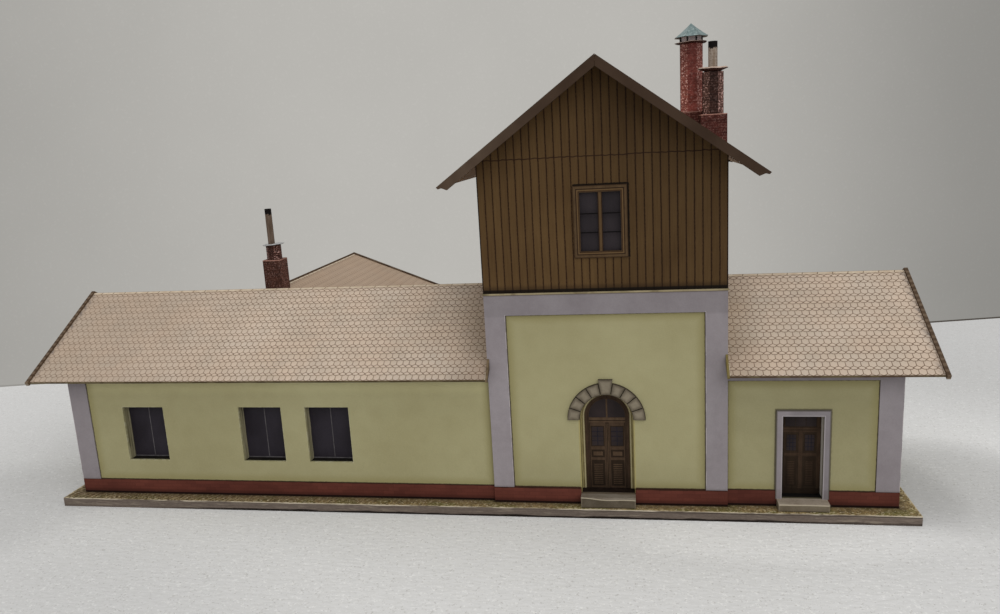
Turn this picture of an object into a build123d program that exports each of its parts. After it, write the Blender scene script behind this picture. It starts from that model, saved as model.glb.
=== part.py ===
import os
from math import atan, cos, degrees, pi, radians, sin, tan

from build123d import *

# Card model of a railway station building. Millimetres, +Z up, the entrance front faces -Y.
# The origin is the centre of the base board's underside.

# Card thicknesses
sheet = 1.0
roof_sheet = 0.5
base_thickness = 3.6
board_thickness = 0.8
reveal_thickness = 0.6
stack_sheet = 0.5

# Ground plan
left_wing_length = 174.8
tower_width = 86.0
right_wing_length = 58.4
wing_depth = 80.4
tower_projection = 1.4
rear_wing_length = 49.1
rear_wing_width = 120.0
rear_ridge_from_left_end = 75.1
base_side_margin = 6.35
base_front_margin = 5.1

# Plinth
plinth_height = 6.0
plinth_projection = 0.4

# Wing roofs
wing_ridge_height = 81.1
right_roof_lift = 0.9
wing_pitch = 30.0
wing_eave_overhang = 7.2
wing_verge_overhang = 13.1
right_verge_overhang = 12.1
valley_gap = 0.15

# Tower
masonry_top = 83.9
deck_thickness = 0.6
deck_overhang = 0.25
frame_relief = 0.8
frame_width = 7.6
tower_ridge_height = 164.0
tower_pitch = 36.1
tower_eave_overhang = 11.3
tower_verge_overhang = 9.6

# Verge boards and bargeboards
board_rise = 0.3
board_mitre_gap = 0.1
bargeboard_depth = 3.1
bargeboard_run = 55.4
bargeboard_toe = 3.8
toe_notch = 0.65
verge_thickness = 1.3
verge_rise = 0.75
verge_depth = 0.9
verge_toe = 1.2
end_board_rise = 3.0

# Wing pilasters and the bands under the wing eaves
pilaster_width = 7.5
pilaster_relief = 0.4
band_height = 6.1

# Windows of the ground floor
window_width = 17.9
window_height = 22.7
window_sill = 18.15
recess_depth = 4.2
left_window_offsets = (31.2, 81.8, 109.7)
rear_window_pitch = 34.0
tower_rear_window_pitch = 34.0

# Timber storey windows
loft_frame_width = 18.8
loft_frame_height = 25.2
loft_frame_sill = 96.6
loft_frame_border = 2.3
loft_frame_relief = 0.5
loft_mullion = 1.5
loft_bar = 0.4
loft_bar_depth = 0.3
loft_transoms = (0.32, 0.64)

# Entrance with its stone arch
entrance_width = 19.5
entrance_spring = 36.4
entrance_step_top = 7.8
entrance_step_width = 20.0
entrance_step_depth = 3.5
arch_ring = 4.35
arch_relief = 0.9
arch_joint = 0.3
stones_per_side = 4
keystone_width = 3.3
keystone_rise = 1.4

# Side door in the right wing
side_door_offset = 25.95
side_door_width = 14.0
side_door_head = 37.8
side_door_frame = 2.15
side_door_relief = 0.7
side_step_top = 6.5
side_step_width = 17.4
side_step_depth = 4.6

# All chimney shafts and their plates are octagonal
octagon_sides = 8

# Chimney on the junction of the two wing ridges
left_stack_offset = -0.45
left_stack_side = 7.8
left_stack_rise = 12.3
left_neck_width = 5.9
left_neck_length = 6.1
left_plate_width = 9.8
left_plate_thickness = 0.6
left_pipe_shift = -0.7
left_pipe_diameter = 2.8
left_pipe_length = 15.1
pipe_wall = 0.5

# Short chimney of the pair on the right slope of the tower roof
short_stack_inset = 3.75
short_stack_setback = 14.4
short_stack_side = 8.8
short_stack_drop = 20.5
short_shaft_width = 6.9
short_shaft_length = 14.1
crown_height = 1.5
crown_width = 11.2
short_pipe_diameter = 3.1
short_pipe_length = 8.6

# Tall chimney of the pair, behind the short one and to its left
tall_stack_spacing = 6.6
tall_stack_side = 9.6
tall_stack_drop = 19.1
tall_shaft_width = 7.7
tall_shaft_length = 23.3
collar_width = 12.6
collar_thickness = 0.6
lantern_height = 1.7
lantern_width = 7.7
post_size = 0.5
cap_width = 11.3
cap_height = 4.7
cap_tip_width = 0.8

# Derived plan positions
building_length = left_wing_length + tower_width + right_wing_length
x_left = -building_length / 2
x_tower_left = x_left + left_wing_length
x_tower_right = x_tower_left + tower_width
x_right = x_tower_right + right_wing_length
x_tower = (x_tower_left + x_tower_right) / 2
base_front_depth = base_front_margin + 2 * tower_projection + wing_depth + base_front_margin
base_depth = base_front_margin + tower_projection + wing_depth + rear_wing_length + base_side_margin
y_tower_front = -base_depth / 2 + base_front_margin
y_wing_front = y_tower_front + tower_projection
y_wing_rear = y_wing_front + wing_depth
y_tower_rear = y_wing_rear + tower_projection
y_rear_gable = y_wing_rear + rear_wing_length
y_ridge = y_wing_front + wing_depth / 2
x_rear_ridge = x_left + rear_ridge_from_left_end
x_rear_left = x_rear_ridge - rear_wing_width / 2
x_rear_right = x_rear_ridge + rear_wing_width / 2
y_base_split = -base_depth / 2 + base_front_depth
y_rear_panel = y_tower_rear - frame_relief
x_side_door = x_tower_right + side_door_offset
side_half = side_door_width / 2
side_opening = side_half + side_door_frame

# Derived heights and slopes
plinth_top = base_thickness + plinth_height
wing_slope = tan(radians(wing_pitch))
wing_run = wing_depth / 2 + wing_eave_overhang
wing_card = roof_sheet / cos(radians(wing_pitch))
wing_eave_height = wing_ridge_height - wing_run * wing_slope
rear_run = rear_wing_width / 2 + wing_eave_overhang
rear_slope = (wing_ridge_height - wing_eave_height) / rear_run
rear_pitch = degrees(atan(rear_slope))
rear_card = roof_sheet / cos(radians(rear_pitch))
tower_slope = tan(radians(tower_pitch))
tower_run = tower_width / 2 + tower_eave_overhang
tower_card = roof_sheet / cos(radians(tower_pitch))
storey_floor = masonry_top + deck_thickness
entrance_radius = entrance_width / 2
y_panel_front = y_tower_front + frame_relief


def block(x_from, x_to, y_from, y_to, z_from, z_to, mode=Mode.ADD):
    """A box between three pairs of limits."""
    with Locations(((x_from + x_to) / 2, (y_from + y_to) / 2, (z_from + z_to) / 2)):
        Box(x_to - x_from, y_to - y_from, z_to - z_from, mode=mode)


def span(start, length):
    """A pair of limits in rising order."""
    return (min(start, start + length), max(start, start + length))


def along_x(points, x_from, x_to, mode=Mode.ADD):
    """A prism with a (y, z) outline."""
    with BuildSketch(Plane.YZ.offset(x_from)) as outline:
        Polygon(*points, align=None)
    extrude(outline.sketch, amount=x_to - x_from, dir=(1, 0, 0), mode=mode)


def along_y(points, y_from, y_to, mode=Mode.ADD):
    """A prism with an (x, z) outline."""
    with BuildSketch(Plane.XZ.offset(-y_to)) as outline:
        Polygon(*points, align=None)
    extrude(outline.sketch, amount=y_to - y_from, dir=(0, -1, 0), mode=mode)


def along_z(points, z_from, z_to, mode=Mode.ADD):
    """A prism with an (x, y) outline."""
    with BuildSketch(Plane.XY.offset(z_from)) as outline:
        Polygon(*points, align=None)
    extrude(outline.sketch, amount=z_to - z_from, dir=(0, 0, 1), mode=mode)


def octagon_face(x, y, width):
    """An octagon with its flats to the four sides, drawn in the open sketch."""
    with Locations((x, y)):
        RegularPolygon(width / 2, octagon_sides, major_radius=False, rotation=180 / octagon_sides)


def octagon(x, y, width, z_from, z_to, mode=Mode.ADD):
    """An upright octagonal prism."""
    with BuildSketch(Plane.XY.offset(z_from)) as outline:
        octagon_face(x, y, width)
    extrude(outline.sketch, amount=z_to - z_from, mode=mode)


def tube(x, y, diameter, z_from, z_to):
    """A round pipe, open from end to end."""
    with BuildSketch(Plane.XY.offset(z_from)) as outline:
        with Locations((x, y)):
            Circle(diameter / 2)
            Circle(diameter / 2 - pipe_wall, mode=Mode.SUBTRACT)
    extrude(outline.sketch, amount=z_to - z_from)


def gable_outline(middle, half, ridge, slope, drop, bottom):
    """A gable wall's outline, its head just under the roof card."""
    eave = ridge - drop - half * slope
    return [
        (middle - half, bottom), (middle + half, bottom), (middle + half, eave),
        (middle, ridge - drop), (middle - half, eave),
    ]


def slope_outline(middle, side, run, ridge, slope, drop):
    """One roof slope seen from its gable; side is -1 or 1."""
    eave = ridge - run * slope
    return [
        (middle, ridge), (middle + side * run, eave),
        (middle + side * run, eave - drop), (middle, ridge - drop),
    ]


def verge_outline(middle, side, run, ridge, slope):
    """A strip that follows one roof slope, upright at the ridge and square at its toe."""
    tilt = atan(slope)
    height = verge_rise + verge_depth
    inner = board_mitre_gap / 2
    outer = run + verge_toe
    top = ridge + verge_rise / cos(tilt)
    profile = [
        (inner, top - inner * slope), (outer, top - outer * slope),
        (outer - height * sin(tilt), top - outer * slope - height * cos(tilt)),
        (inner, top - inner * slope - height / cos(tilt)),
    ]
    return [(middle + side * x, z) for x, z in profile]


def ground_window(x, y_face, outward, mode=Mode.SUBTRACT):
    """A window opening through a wall sheet; outward is -1 for a front and 1 for a rear."""
    block(x - window_width / 2, x + window_width / 2, *span(y_face, -outward * sheet),
          window_sill, window_sill + window_height, mode=mode)


# The two wings of the main range: x limits and how far the roof is lifted
wings = ((x_left, x_tower_left, 0), (x_tower_right, x_right, right_roof_lift))

# Where the ground floor windows stand: x, wall face and outward direction
windows = [(x_left + offset, y_wing_front, -1) for offset in left_window_offsets]
windows += [(x_rear_ridge + step * rear_window_pitch, y_rear_gable, 1) for step in (-1, 0, 1)]
windows += [((x_tower_right + x_right) / 2, y_wing_rear, 1)]
windows += [(x_tower + step * tower_rear_window_pitch / 2, y_rear_panel, 1) for step in (-1, 1)]


def cut_windows(y_face):
    """Every window that stands in the wall with this face."""
    for x, y, outward in windows:
        if y == y_face:
            ground_window(x, y, outward)


with BuildPart() as wing_volume:
    for x_from, x_to, lift in wings:
        along_x(gable_outline(y_ridge, wing_run, wing_ridge_height + lift, wing_slope, wing_card, 0),
                x_from, x_to)


def under_wing_roofs():
    """Keep only what lies under the wing roofs."""
    add(wing_volume.part, mode=Mode.INTERSECT)


def under_rear_roof(y_from, y_to):
    """Keep only what lies under the rear wing's roof."""
    along_y(gable_outline(x_rear_ridge, rear_run, wing_ridge_height, rear_slope, rear_card, 0),
            y_from, y_to, mode=Mode.INTERSECT)


def arched_opening(x, y_from, y_to, width, bottom, spring, mode):
    """A round-headed opening."""
    with BuildSketch(Plane.XZ.offset(-y_to)) as outline:
        with Locations((x, (bottom + spring) / 2)):
            Rectangle(width, spring - bottom)
        with Locations((x, spring)):
            Circle(width / 2)
    extrude(outline.sketch, amount=y_to - y_from, dir=(0, -1, 0), mode=mode)


# Base board in two pieces, one under the main range and one under the rear wing
with BuildPart() as base_board:
    block(x_left - base_side_margin, x_right + base_side_margin,
          -base_depth / 2, y_base_split, 0, base_thickness)

with BuildPart() as rear_base_board:
    block(x_rear_left - base_side_margin, x_rear_right + base_side_margin,
          y_base_split, base_depth / 2, 0, base_thickness)

# Wing walls
with BuildPart() as wing_front_walls:
    for x_from, x_to, _ in wings:
        block(x_from, x_to, y_wing_front, y_wing_front + sheet, base_thickness, wing_ridge_height)
    under_wing_roofs()
    cut_windows(y_wing_front)
    block(x_side_door - side_half, x_side_door + side_half,
          y_wing_front, y_wing_front + sheet, side_step_top, side_door_head, mode=Mode.SUBTRACT)

with BuildPart() as wing_rear_walls:
    for x_from, x_to, _ in wings:
        block(x_from, x_to, y_wing_rear - sheet, y_wing_rear, base_thickness, wing_ridge_height)
    under_wing_roofs()
    cut_windows(y_wing_rear)

with BuildPart() as wing_end_walls:
    for x_face in (x_left, x_right - sheet):
        block(x_face, x_face + sheet, y_wing_front + sheet, y_wing_rear - sheet,
              base_thickness, wing_ridge_height + right_roof_lift)
    under_wing_roofs()

# Rear wing walls
with BuildPart() as rear_wing_side_walls:
    for x_face in (x_rear_left, x_rear_right - sheet):
        block(x_face, x_face + sheet, y_wing_rear, y_rear_gable - sheet,
              base_thickness, wing_ridge_height)
    under_rear_roof(y_wing_rear, y_rear_gable)

with BuildPart() as rear_wing_gable_wall:
    along_y(gable_outline(x_rear_ridge, rear_wing_width / 2, wing_ridge_height, rear_slope,
                          rear_card, base_thickness), y_rear_gable - sheet, y_rear_gable)
    cut_windows(y_rear_gable)

# Masonry storey of the tower
with BuildPart() as tower_front_wall:
    block(x_tower_left, x_tower_right, y_panel_front, y_panel_front + sheet,
          base_thickness, masonry_top)
    arched_opening(x_tower, y_panel_front, y_panel_front + sheet, entrance_width,
                   entrance_step_top, entrance_spring, Mode.SUBTRACT)

with BuildPart() as tower_rear_wall:
    block(x_tower_left, x_tower_right, y_rear_panel - sheet, y_rear_panel,
          base_thickness, masonry_top)
    cut_windows(y_rear_panel)

with BuildPart() as tower_side_walls:
    for x_face in (x_tower_left, x_tower_right - sheet):
        block(x_face, x_face + sheet, y_panel_front + sheet, y_rear_panel - sheet,
              base_thickness, masonry_top)

with BuildPart() as tower_pilasters:
    for x_face in (x_tower_left, x_tower_right - frame_width):
        block(x_face, x_face + frame_width, y_tower_front, y_panel_front, plinth_top, masonry_top)
        block(x_face, x_face + frame_width, y_rear_panel, y_tower_rear, plinth_top, masonry_top)

with BuildPart() as tower_bands:
    for y_face in (y_tower_front, y_rear_panel):
        block(x_tower_left + frame_width, x_tower_right - frame_width, y_face,
              y_face + frame_relief, masonry_top - frame_width, masonry_top)

with BuildPart() as tower_deck:
    block(x_tower_left - deck_overhang, x_tower_right + deck_overhang,
          y_tower_front - deck_overhang, y_tower_rear + deck_overhang, masonry_top, storey_floor)

# Timber storey of the tower, boarded on all four sides
tower_gable = gable_outline(x_tower, tower_width / 2, tower_ridge_height, tower_slope,
                            tower_card, storey_floor)
loft_glass_width = loft_frame_width - 2 * loft_frame_border
loft_glass_height = loft_frame_height - 2 * loft_frame_border
loft_middle = loft_frame_sill + loft_frame_height / 2


def loft_opening(y_from, y_to, mode):
    """The daylight opening of a timber storey window."""
    block(x_tower - loft_glass_width / 2, x_tower + loft_glass_width / 2, y_from, y_to,
          loft_middle - loft_glass_height / 2, loft_middle + loft_glass_height / 2, mode=mode)


with BuildPart() as timber_front_wall:
    along_y(tower_gable, y_tower_front, y_tower_front + sheet)
    loft_opening(y_tower_front, y_tower_front + sheet, Mode.SUBTRACT)

with BuildPart() as timber_rear_wall:
    along_y(tower_gable, y_tower_rear - sheet, y_tower_rear)
    loft_opening(y_tower_rear - sheet, y_tower_rear, Mode.SUBTRACT)

with BuildPart() as timber_side_walls:
    for x_face in (x_tower_left, x_tower_right - sheet):
        block(x_face, x_face + sheet, y_tower_front + sheet, y_tower_rear - sheet,
              storey_floor, tower_ridge_height)
    along_y(tower_gable, y_tower_front, y_tower_rear, mode=Mode.INTERSECT)

with BuildPart() as loft_window_frames:
    for y_face, outward in ((y_tower_front, -1), (y_tower_rear, 1)):
        y_frame = span(y_face, outward * loft_frame_relief)
        block(x_tower - loft_frame_width / 2, x_tower + loft_frame_width / 2, *y_frame,
              loft_frame_sill, loft_frame_sill + loft_frame_height)
        loft_opening(*y_frame, Mode.SUBTRACT)
        y_bar = span(y_face, outward * loft_bar_depth)
        block(x_tower - loft_mullion / 2, x_tower + loft_mullion / 2, *y_bar,
              loft_middle - loft_glass_height / 2, loft_middle + loft_glass_height / 2)
        for share in loft_transoms:
            z_bar = loft_middle - loft_glass_height / 2 + share * loft_glass_height
            block(x_tower - loft_glass_width / 2, x_tower + loft_glass_width / 2, *y_bar,
                  z_bar - loft_bar / 2, z_bar + loft_bar / 2)

with BuildPart() as loft_window_panes:
    for y_face in (y_tower_front + sheet, y_tower_rear - sheet - reveal_thickness):
        block(x_tower - loft_frame_width / 2, x_tower + loft_frame_width / 2, y_face,
              y_face + reveal_thickness, loft_frame_sill, loft_frame_sill + loft_frame_height)

# Wing roofs: front slopes whole, rear slopes cut back along the two valleys
x_verge_left = x_left - wing_verge_overhang
x_verge_right = x_right + right_verge_overhang
roof_spans = ((x_verge_left + verge_thickness, x_tower_left, 0),
              (x_tower_right, x_verge_right - verge_thickness, right_roof_lift))
y_rear_eave = y_ridge + wing_run
y_rear_verge = y_rear_gable + wing_verge_overhang
x_rear_eaves = (x_rear_ridge - rear_run, x_rear_ridge + rear_run)

with BuildPart() as wing_front_slopes:
    for x_from, x_to, lift in roof_spans:
        along_x(slope_outline(y_ridge, -1, wing_run, wing_ridge_height + lift, wing_slope, wing_card),
                x_from, x_to)

with BuildPart() as wing_rear_slopes:
    for x_from, x_to, lift in roof_spans:
        along_x(slope_outline(y_ridge, 1, wing_run, wing_ridge_height + lift, wing_slope, wing_card),
                x_from, x_to)
    along_z([(x_rear_ridge - valley_gap, y_ridge), (x_rear_ridge + valley_gap, y_ridge),
             (x_rear_eaves[1] + valley_gap, y_rear_eave), (x_rear_eaves[0] - valley_gap, y_rear_eave)],
            0, tower_ridge_height, mode=Mode.SUBTRACT)


def rear_wing_slope(side, x_eave):
    """One slope of the rear wing's roof, from its valley to the verge board."""
    along_y(slope_outline(x_rear_ridge, side, rear_run, wing_ridge_height, rear_slope, rear_card),
            y_ridge, y_rear_verge - verge_thickness)
    along_z([(x_rear_ridge, y_ridge), (x_eave, y_rear_eave), (x_eave, y_rear_verge),
             (x_rear_ridge, y_rear_verge)], 0, tower_ridge_height, mode=Mode.INTERSECT)


with BuildPart() as rear_wing_left_slope:
    rear_wing_slope(-1, x_rear_eaves[0])

with BuildPart() as rear_wing_right_slope:
    rear_wing_slope(1, x_rear_eaves[1])

# Tower roof
y_tower_verges = (y_tower_front - tower_verge_overhang, y_tower_rear + tower_verge_overhang)

with BuildPart() as tower_left_slope:
    along_y(slope_outline(x_tower, -1, tower_run, tower_ridge_height, tower_slope, tower_card),
            y_tower_verges[0] + board_thickness, y_tower_verges[1] - board_thickness)

with BuildPart() as tower_right_slope:
    along_y(slope_outline(x_tower, 1, tower_run, tower_ridge_height, tower_slope, tower_card),
            y_tower_verges[0] + board_thickness, y_tower_verges[1] - board_thickness)

# Bargeboards of the tower, each with a notched toe
toe_rise = bargeboard_depth / cos(radians(tower_pitch))
board_top = tower_ridge_height + board_rise / cos(radians(tower_pitch))


def bargeboard_outline(side):
    """The outline of one bargeboard with its notched toe; side is -1 or 1."""
    tip = board_top - bargeboard_run * tower_slope
    toe_run = bargeboard_run - bargeboard_toe
    heel = board_top - toe_rise - toe_run * tower_slope
    inner = board_mitre_gap / 2
    profile = [
        (inner, board_top - inner * tower_slope), (bargeboard_run, tip),
        (bargeboard_run - toe_notch, tip - toe_notch),
        (bargeboard_run - bargeboard_toe / 2, tip - toe_notch / 2), (toe_run, heel),
        (inner, board_top - toe_rise - inner * tower_slope),
    ]
    return [(x_tower + side * x, z) for x, z in profile]


with BuildPart() as tower_bargeboards:
    for y_from in (y_tower_verges[0], y_tower_verges[1] - board_thickness):
        for side in (-1, 1):
            along_y(bargeboard_outline(side), y_from, y_from + board_thickness)

# Verge boards of the wings and of the rear wing
with BuildPart() as wing_verge_boards:
    for x_from, lift in ((x_verge_left, 0), (x_verge_right - verge_thickness, right_roof_lift)):
        for side in (-1, 1):
            along_x(verge_outline(y_ridge, side, wing_run, wing_ridge_height + lift, wing_slope),
                    x_from, x_from + verge_thickness)
    for side in (-1, 1):
        along_y(verge_outline(x_rear_ridge, side, rear_run, wing_ridge_height, rear_slope),
                y_rear_verge - verge_thickness, y_rear_verge)

# Short boards that close the wing eaves where they pass the tower's corners
with BuildPart() as eave_end_boards:
    for x_from, lift in ((x_tower_left, 0), (x_tower_right - board_thickness, right_roof_lift)):
        for y_eave, y_wall in ((y_ridge - wing_run, y_tower_front),
                               (y_ridge + wing_run, y_tower_rear)):
            z_eave = wing_eave_height + lift
            z_wall = wing_ridge_height + lift - abs(y_wall - y_ridge) * wing_slope
            drop = wing_card + board_rise
            along_x([(y_eave, z_eave - drop), (y_wall, z_wall - drop),
                     (y_wall, z_wall + end_board_rise), (y_eave, z_eave + board_rise)],
                    x_from, x_from + board_thickness)

# Plinth strips in front of the walls, open at both doors
y_plinth = y_wing_front - plinth_projection
with BuildPart() as wing_plinths:
    block(x_left - plinth_projection, x_tower_left, y_plinth, y_wing_front,
          base_thickness, plinth_top)
    block(x_tower_right, x_right + plinth_projection, y_plinth, y_wing_front,
          base_thickness, plinth_top)
    for x_from in (x_left - plinth_projection, x_right):
        block(x_from, x_from + plinth_projection, y_plinth, y_wing_rear + plinth_projection,
              base_thickness, plinth_top)
    block(x_left - plinth_projection, x_rear_left - plinth_projection,
          y_wing_rear, y_wing_rear + plinth_projection, base_thickness, plinth_top)
    block(x_rear_right + plinth_projection, x_tower_left,
          y_wing_rear, y_wing_rear + plinth_projection, base_thickness, plinth_top)
    block(x_tower_right, x_right + plinth_projection,
          y_wing_rear, y_wing_rear + plinth_projection, base_thickness, plinth_top)
    block(x_side_door - side_step_width / 2, x_side_door + side_step_width / 2,
          y_plinth, y_wing_front, base_thickness, side_step_top, mode=Mode.SUBTRACT)
    block(x_side_door - side_opening, x_side_door + side_opening,
          y_plinth, y_wing_front, side_step_top, plinth_top, mode=Mode.SUBTRACT)

with BuildPart() as tower_plinths:
    for y_from, y_to in ((y_tower_front - plinth_projection, y_panel_front),
                         (y_rear_panel, y_tower_rear + plinth_projection)):
        block(x_tower_left, x_tower_right, y_from, y_to, base_thickness, plinth_top)
    block(x_tower - entrance_step_width / 2, x_tower + entrance_step_width / 2,
          y_tower_front - plinth_projection, y_panel_front, base_thickness, plinth_top,
          mode=Mode.SUBTRACT)

with BuildPart() as rear_wing_plinths:
    for x_from in (x_rear_left - plinth_projection, x_rear_right):
        block(x_from, x_from + plinth_projection, y_wing_rear,
              y_rear_gable + plinth_projection, base_thickness, plinth_top)
    block(x_rear_left, x_rear_right, y_rear_gable, y_rear_gable + plinth_projection,
          base_thickness, plinth_top)

# Corner pilasters of the wings, folded round each outer corner
pilaster_out = wing_depth / 2 + pilaster_relief
rear_pilaster_out = rear_wing_width / 2 + pilaster_relief
left_pilaster_top = wing_ridge_height - wing_card - pilaster_out * wing_slope
right_pilaster_top = left_pilaster_top + right_roof_lift
rear_pilaster_top = wing_ridge_height - rear_card - rear_pilaster_out * rear_slope
corners = [
    (x_left, y_wing_front, 1, 1, left_pilaster_top), (x_right, y_wing_front, -1, 1, right_pilaster_top),
    (x_left, y_wing_rear, 1, -1, left_pilaster_top), (x_right, y_wing_rear, -1, -1, right_pilaster_top),
    (x_rear_left, y_rear_gable, 1, -1, rear_pilaster_top),
    (x_rear_right, y_rear_gable, -1, -1, rear_pilaster_top),
]

with BuildPart() as corner_pilasters:
    for x, y, x_in, y_in, top in corners:
        x_wide = span(x - x_in * pilaster_relief, x_in * (pilaster_width + pilaster_relief))
        y_wide = span(y - y_in * pilaster_relief, y_in * (pilaster_width + pilaster_relief))
        x_skin = span(x, -x_in * pilaster_relief)
        y_skin = span(y, -y_in * pilaster_relief)
        block(*x_wide, *y_skin, plinth_top, top)
        block(*x_skin, *y_wide, plinth_top, top)

# Bands under the wing eaves, between the corner pilasters and the tower or the rear wing
with BuildPart() as wing_bands:
    for x_from, x_to, y_from, top in (
            (x_left + pilaster_width, x_tower_left, y_wing_front - pilaster_relief, left_pilaster_top),
            (x_tower_right, x_right - pilaster_width, y_wing_front - pilaster_relief,
             right_pilaster_top),
            (x_left + pilaster_width, x_rear_left, y_wing_rear, left_pilaster_top),
            (x_rear_right, x_tower_left, y_wing_rear, left_pilaster_top),
            (x_tower_right, x_right - pilaster_width, y_wing_rear, right_pilaster_top)):
        block(x_from, x_to, y_from, y_from + pilaster_relief,
              left_pilaster_top - band_height, top)

# Stone arch over the entrance, separate stones with open joints
key_half = degrees((keystone_width + arch_joint) / 2 / entrance_radius)
stone_angle = (90 - key_half) / stones_per_side
outer_radius = entrance_radius + arch_ring
key_radius = outer_radius + keystone_rise
keystone_top_width = keystone_width * key_radius / entrance_radius
inner_joint = arch_joint / 2 / entrance_radius
outer_joint = arch_joint / 2 / outer_radius
y_arch_front = y_panel_front - arch_relief

with BuildPart() as arch_stones:
    for side in (-1, 1):
        for i in range(stones_per_side):
            start, end = radians(i * stone_angle), radians((i + 1) * stone_angle)
            middle = (start + end) / 2
            outline = [
                (outer_radius, start + outer_joint), (outer_radius, middle),
                (outer_radius, end - outer_joint), (entrance_radius, end - inner_joint),
                (entrance_radius, middle), (entrance_radius, start + inner_joint),
            ]
            along_y([(x_tower + side * r * cos(a), entrance_spring + r * sin(a))
                     for r, a in outline], y_arch_front, y_panel_front)
    along_y([(x_tower - keystone_width / 2, entrance_spring + entrance_radius),
             (x_tower + keystone_width / 2, entrance_spring + entrance_radius),
             (x_tower + keystone_top_width / 2, entrance_spring + key_radius),
             (x_tower - keystone_top_width / 2, entrance_spring + key_radius)],
            y_arch_front, y_panel_front)

# Reveals folded back behind each door and window, and the printed panels that close them
y_entrance_panel = y_panel_front + recess_depth
y_wing_panel = y_wing_front + recess_depth

with BuildPart() as entrance_reveal:
    arched_opening(x_tower, y_panel_front + sheet, y_entrance_panel,
                   entrance_width + 2 * reveal_thickness, entrance_step_top - reveal_thickness,
                   entrance_spring, Mode.ADD)
    arched_opening(x_tower, y_panel_front + sheet, y_entrance_panel, entrance_width,
                   entrance_step_top, entrance_spring, Mode.SUBTRACT)

with BuildPart() as side_door_reveal:
    block(x_side_door - side_half - reveal_thickness, x_side_door + side_half + reveal_thickness,
          y_wing_front + sheet, y_wing_panel, side_step_top - reveal_thickness,
          side_door_head + reveal_thickness)
    block(x_side_door - side_half, x_side_door + side_half, y_wing_front + sheet, y_wing_panel,
          side_step_top, side_door_head, mode=Mode.SUBTRACT)

with BuildPart() as entrance_door:
    arched_opening(x_tower, y_entrance_panel, y_entrance_panel + reveal_thickness,
                   entrance_width + 2 * reveal_thickness, entrance_step_top - reveal_thickness,
                   entrance_spring, Mode.ADD)

with BuildPart() as side_door:
    block(x_side_door - side_half - reveal_thickness, x_side_door + side_half + reveal_thickness,
          y_wing_panel, y_wing_panel + reveal_thickness, side_step_top - reveal_thickness,
          side_door_head + reveal_thickness)


def window_box(x, y_from, y_to, grow, mode=Mode.ADD):
    """A box of a window opening's size, grown by a card thickness all round."""
    half = window_width / 2 + grow
    block(x - half, x + half, *span(y_from, y_to - y_from),
          window_sill - grow, window_sill + window_height + grow, mode=mode)


with BuildPart() as window_reveals:
    for x, y, outward in windows:
        y_back = y - outward * sheet
        y_pane = y - outward * recess_depth
        window_box(x, y_back, y_pane, reveal_thickness)
        window_box(x, y_back, y_pane, 0, mode=Mode.SUBTRACT)

with BuildPart() as window_panes:
    for x, y, outward in windows:
        y_pane = y - outward * recess_depth
        window_box(x, y_pane, y_pane - outward * reveal_thickness, reveal_thickness)

# Raised surround of the side door, and the two doorsteps
with BuildPart() as side_door_surround:
    block(x_side_door - side_opening, x_side_door + side_opening,
          y_wing_front - side_door_relief, y_wing_front,
          side_step_top, side_door_head + side_door_frame)
    block(x_side_door - side_half, x_side_door + side_half,
          y_wing_front - side_door_relief, y_wing_front,
          side_step_top, side_door_head, mode=Mode.SUBTRACT)

with BuildPart() as door_steps:
    block(x_tower - entrance_step_width / 2, x_tower + entrance_step_width / 2,
          y_tower_front - plinth_projection - entrance_step_depth, y_panel_front,
          base_thickness, entrance_step_top)
    block(x_side_door - side_step_width / 2, x_side_door + side_step_width / 2,
          y_plinth - side_step_depth, y_wing_front, base_thickness, side_step_top)

# Chimneys of folded card, hollow, with octagonal shafts on square blocks
def stack_block(x, y, side, z_from, z_to):
    """A square box open below, with a card top."""
    block(x - side / 2, x + side / 2, y - side / 2, y + side / 2, z_from, z_to)
    inner = side / 2 - stack_sheet
    block(x - inner, x + inner, y - inner, y + inner, z_from, z_to - stack_sheet, mode=Mode.SUBTRACT)


def stack_shaft(x, y, width, z_from, z_to):
    """A hollow octagonal shaft."""
    octagon(x, y, width, z_from, z_to)
    octagon(x, y, width - 2 * stack_sheet, z_from, z_to, mode=Mode.SUBTRACT)


# Chimney on the junction of the ridges, its foot cut to the roofs below it
x_left_stack = x_rear_ridge + left_stack_offset
y_left_stack = y_ridge + left_stack_side / 2
left_stack_top = wing_ridge_height + left_stack_rise
left_neck_top = left_stack_top + left_neck_length
left_plate_top = left_neck_top + left_plate_thickness

with BuildPart() as left_stack:
    stack_block(x_left_stack, y_left_stack, left_stack_side, wing_eave_height, left_stack_top)
    along_x(gable_outline(y_ridge, wing_run, wing_ridge_height, wing_slope, 0, 0),
            x_left, x_tower_left, mode=Mode.SUBTRACT)
    along_y(gable_outline(x_rear_ridge, rear_run, wing_ridge_height, rear_slope, 0, 0),
            y_ridge, y_rear_verge, mode=Mode.SUBTRACT)
    stack_shaft(x_left_stack, y_left_stack, left_neck_width, left_stack_top, left_neck_top)

with BuildPart() as left_stack_plate:
    octagon(x_left_stack, y_left_stack, left_plate_width, left_neck_top, left_plate_top)

# Twin chimneys on the tower roof
x_short_stack = x_tower_right - short_stack_inset
y_short_stack = y_tower_front + short_stack_setback
x_tall_stack = x_short_stack - tall_stack_spacing
y_tall_stack = y_short_stack + (short_stack_side + tall_stack_side) / 2
short_stack_top = tower_ridge_height - short_stack_drop
short_shaft_top = short_stack_top + short_shaft_length
crown_top = short_shaft_top + crown_height
tall_stack_top = tower_ridge_height - tall_stack_drop
tall_shaft_top = tall_stack_top + tall_shaft_length
lantern_floor = tall_shaft_top + collar_thickness
lantern_top = lantern_floor + lantern_height


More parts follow.
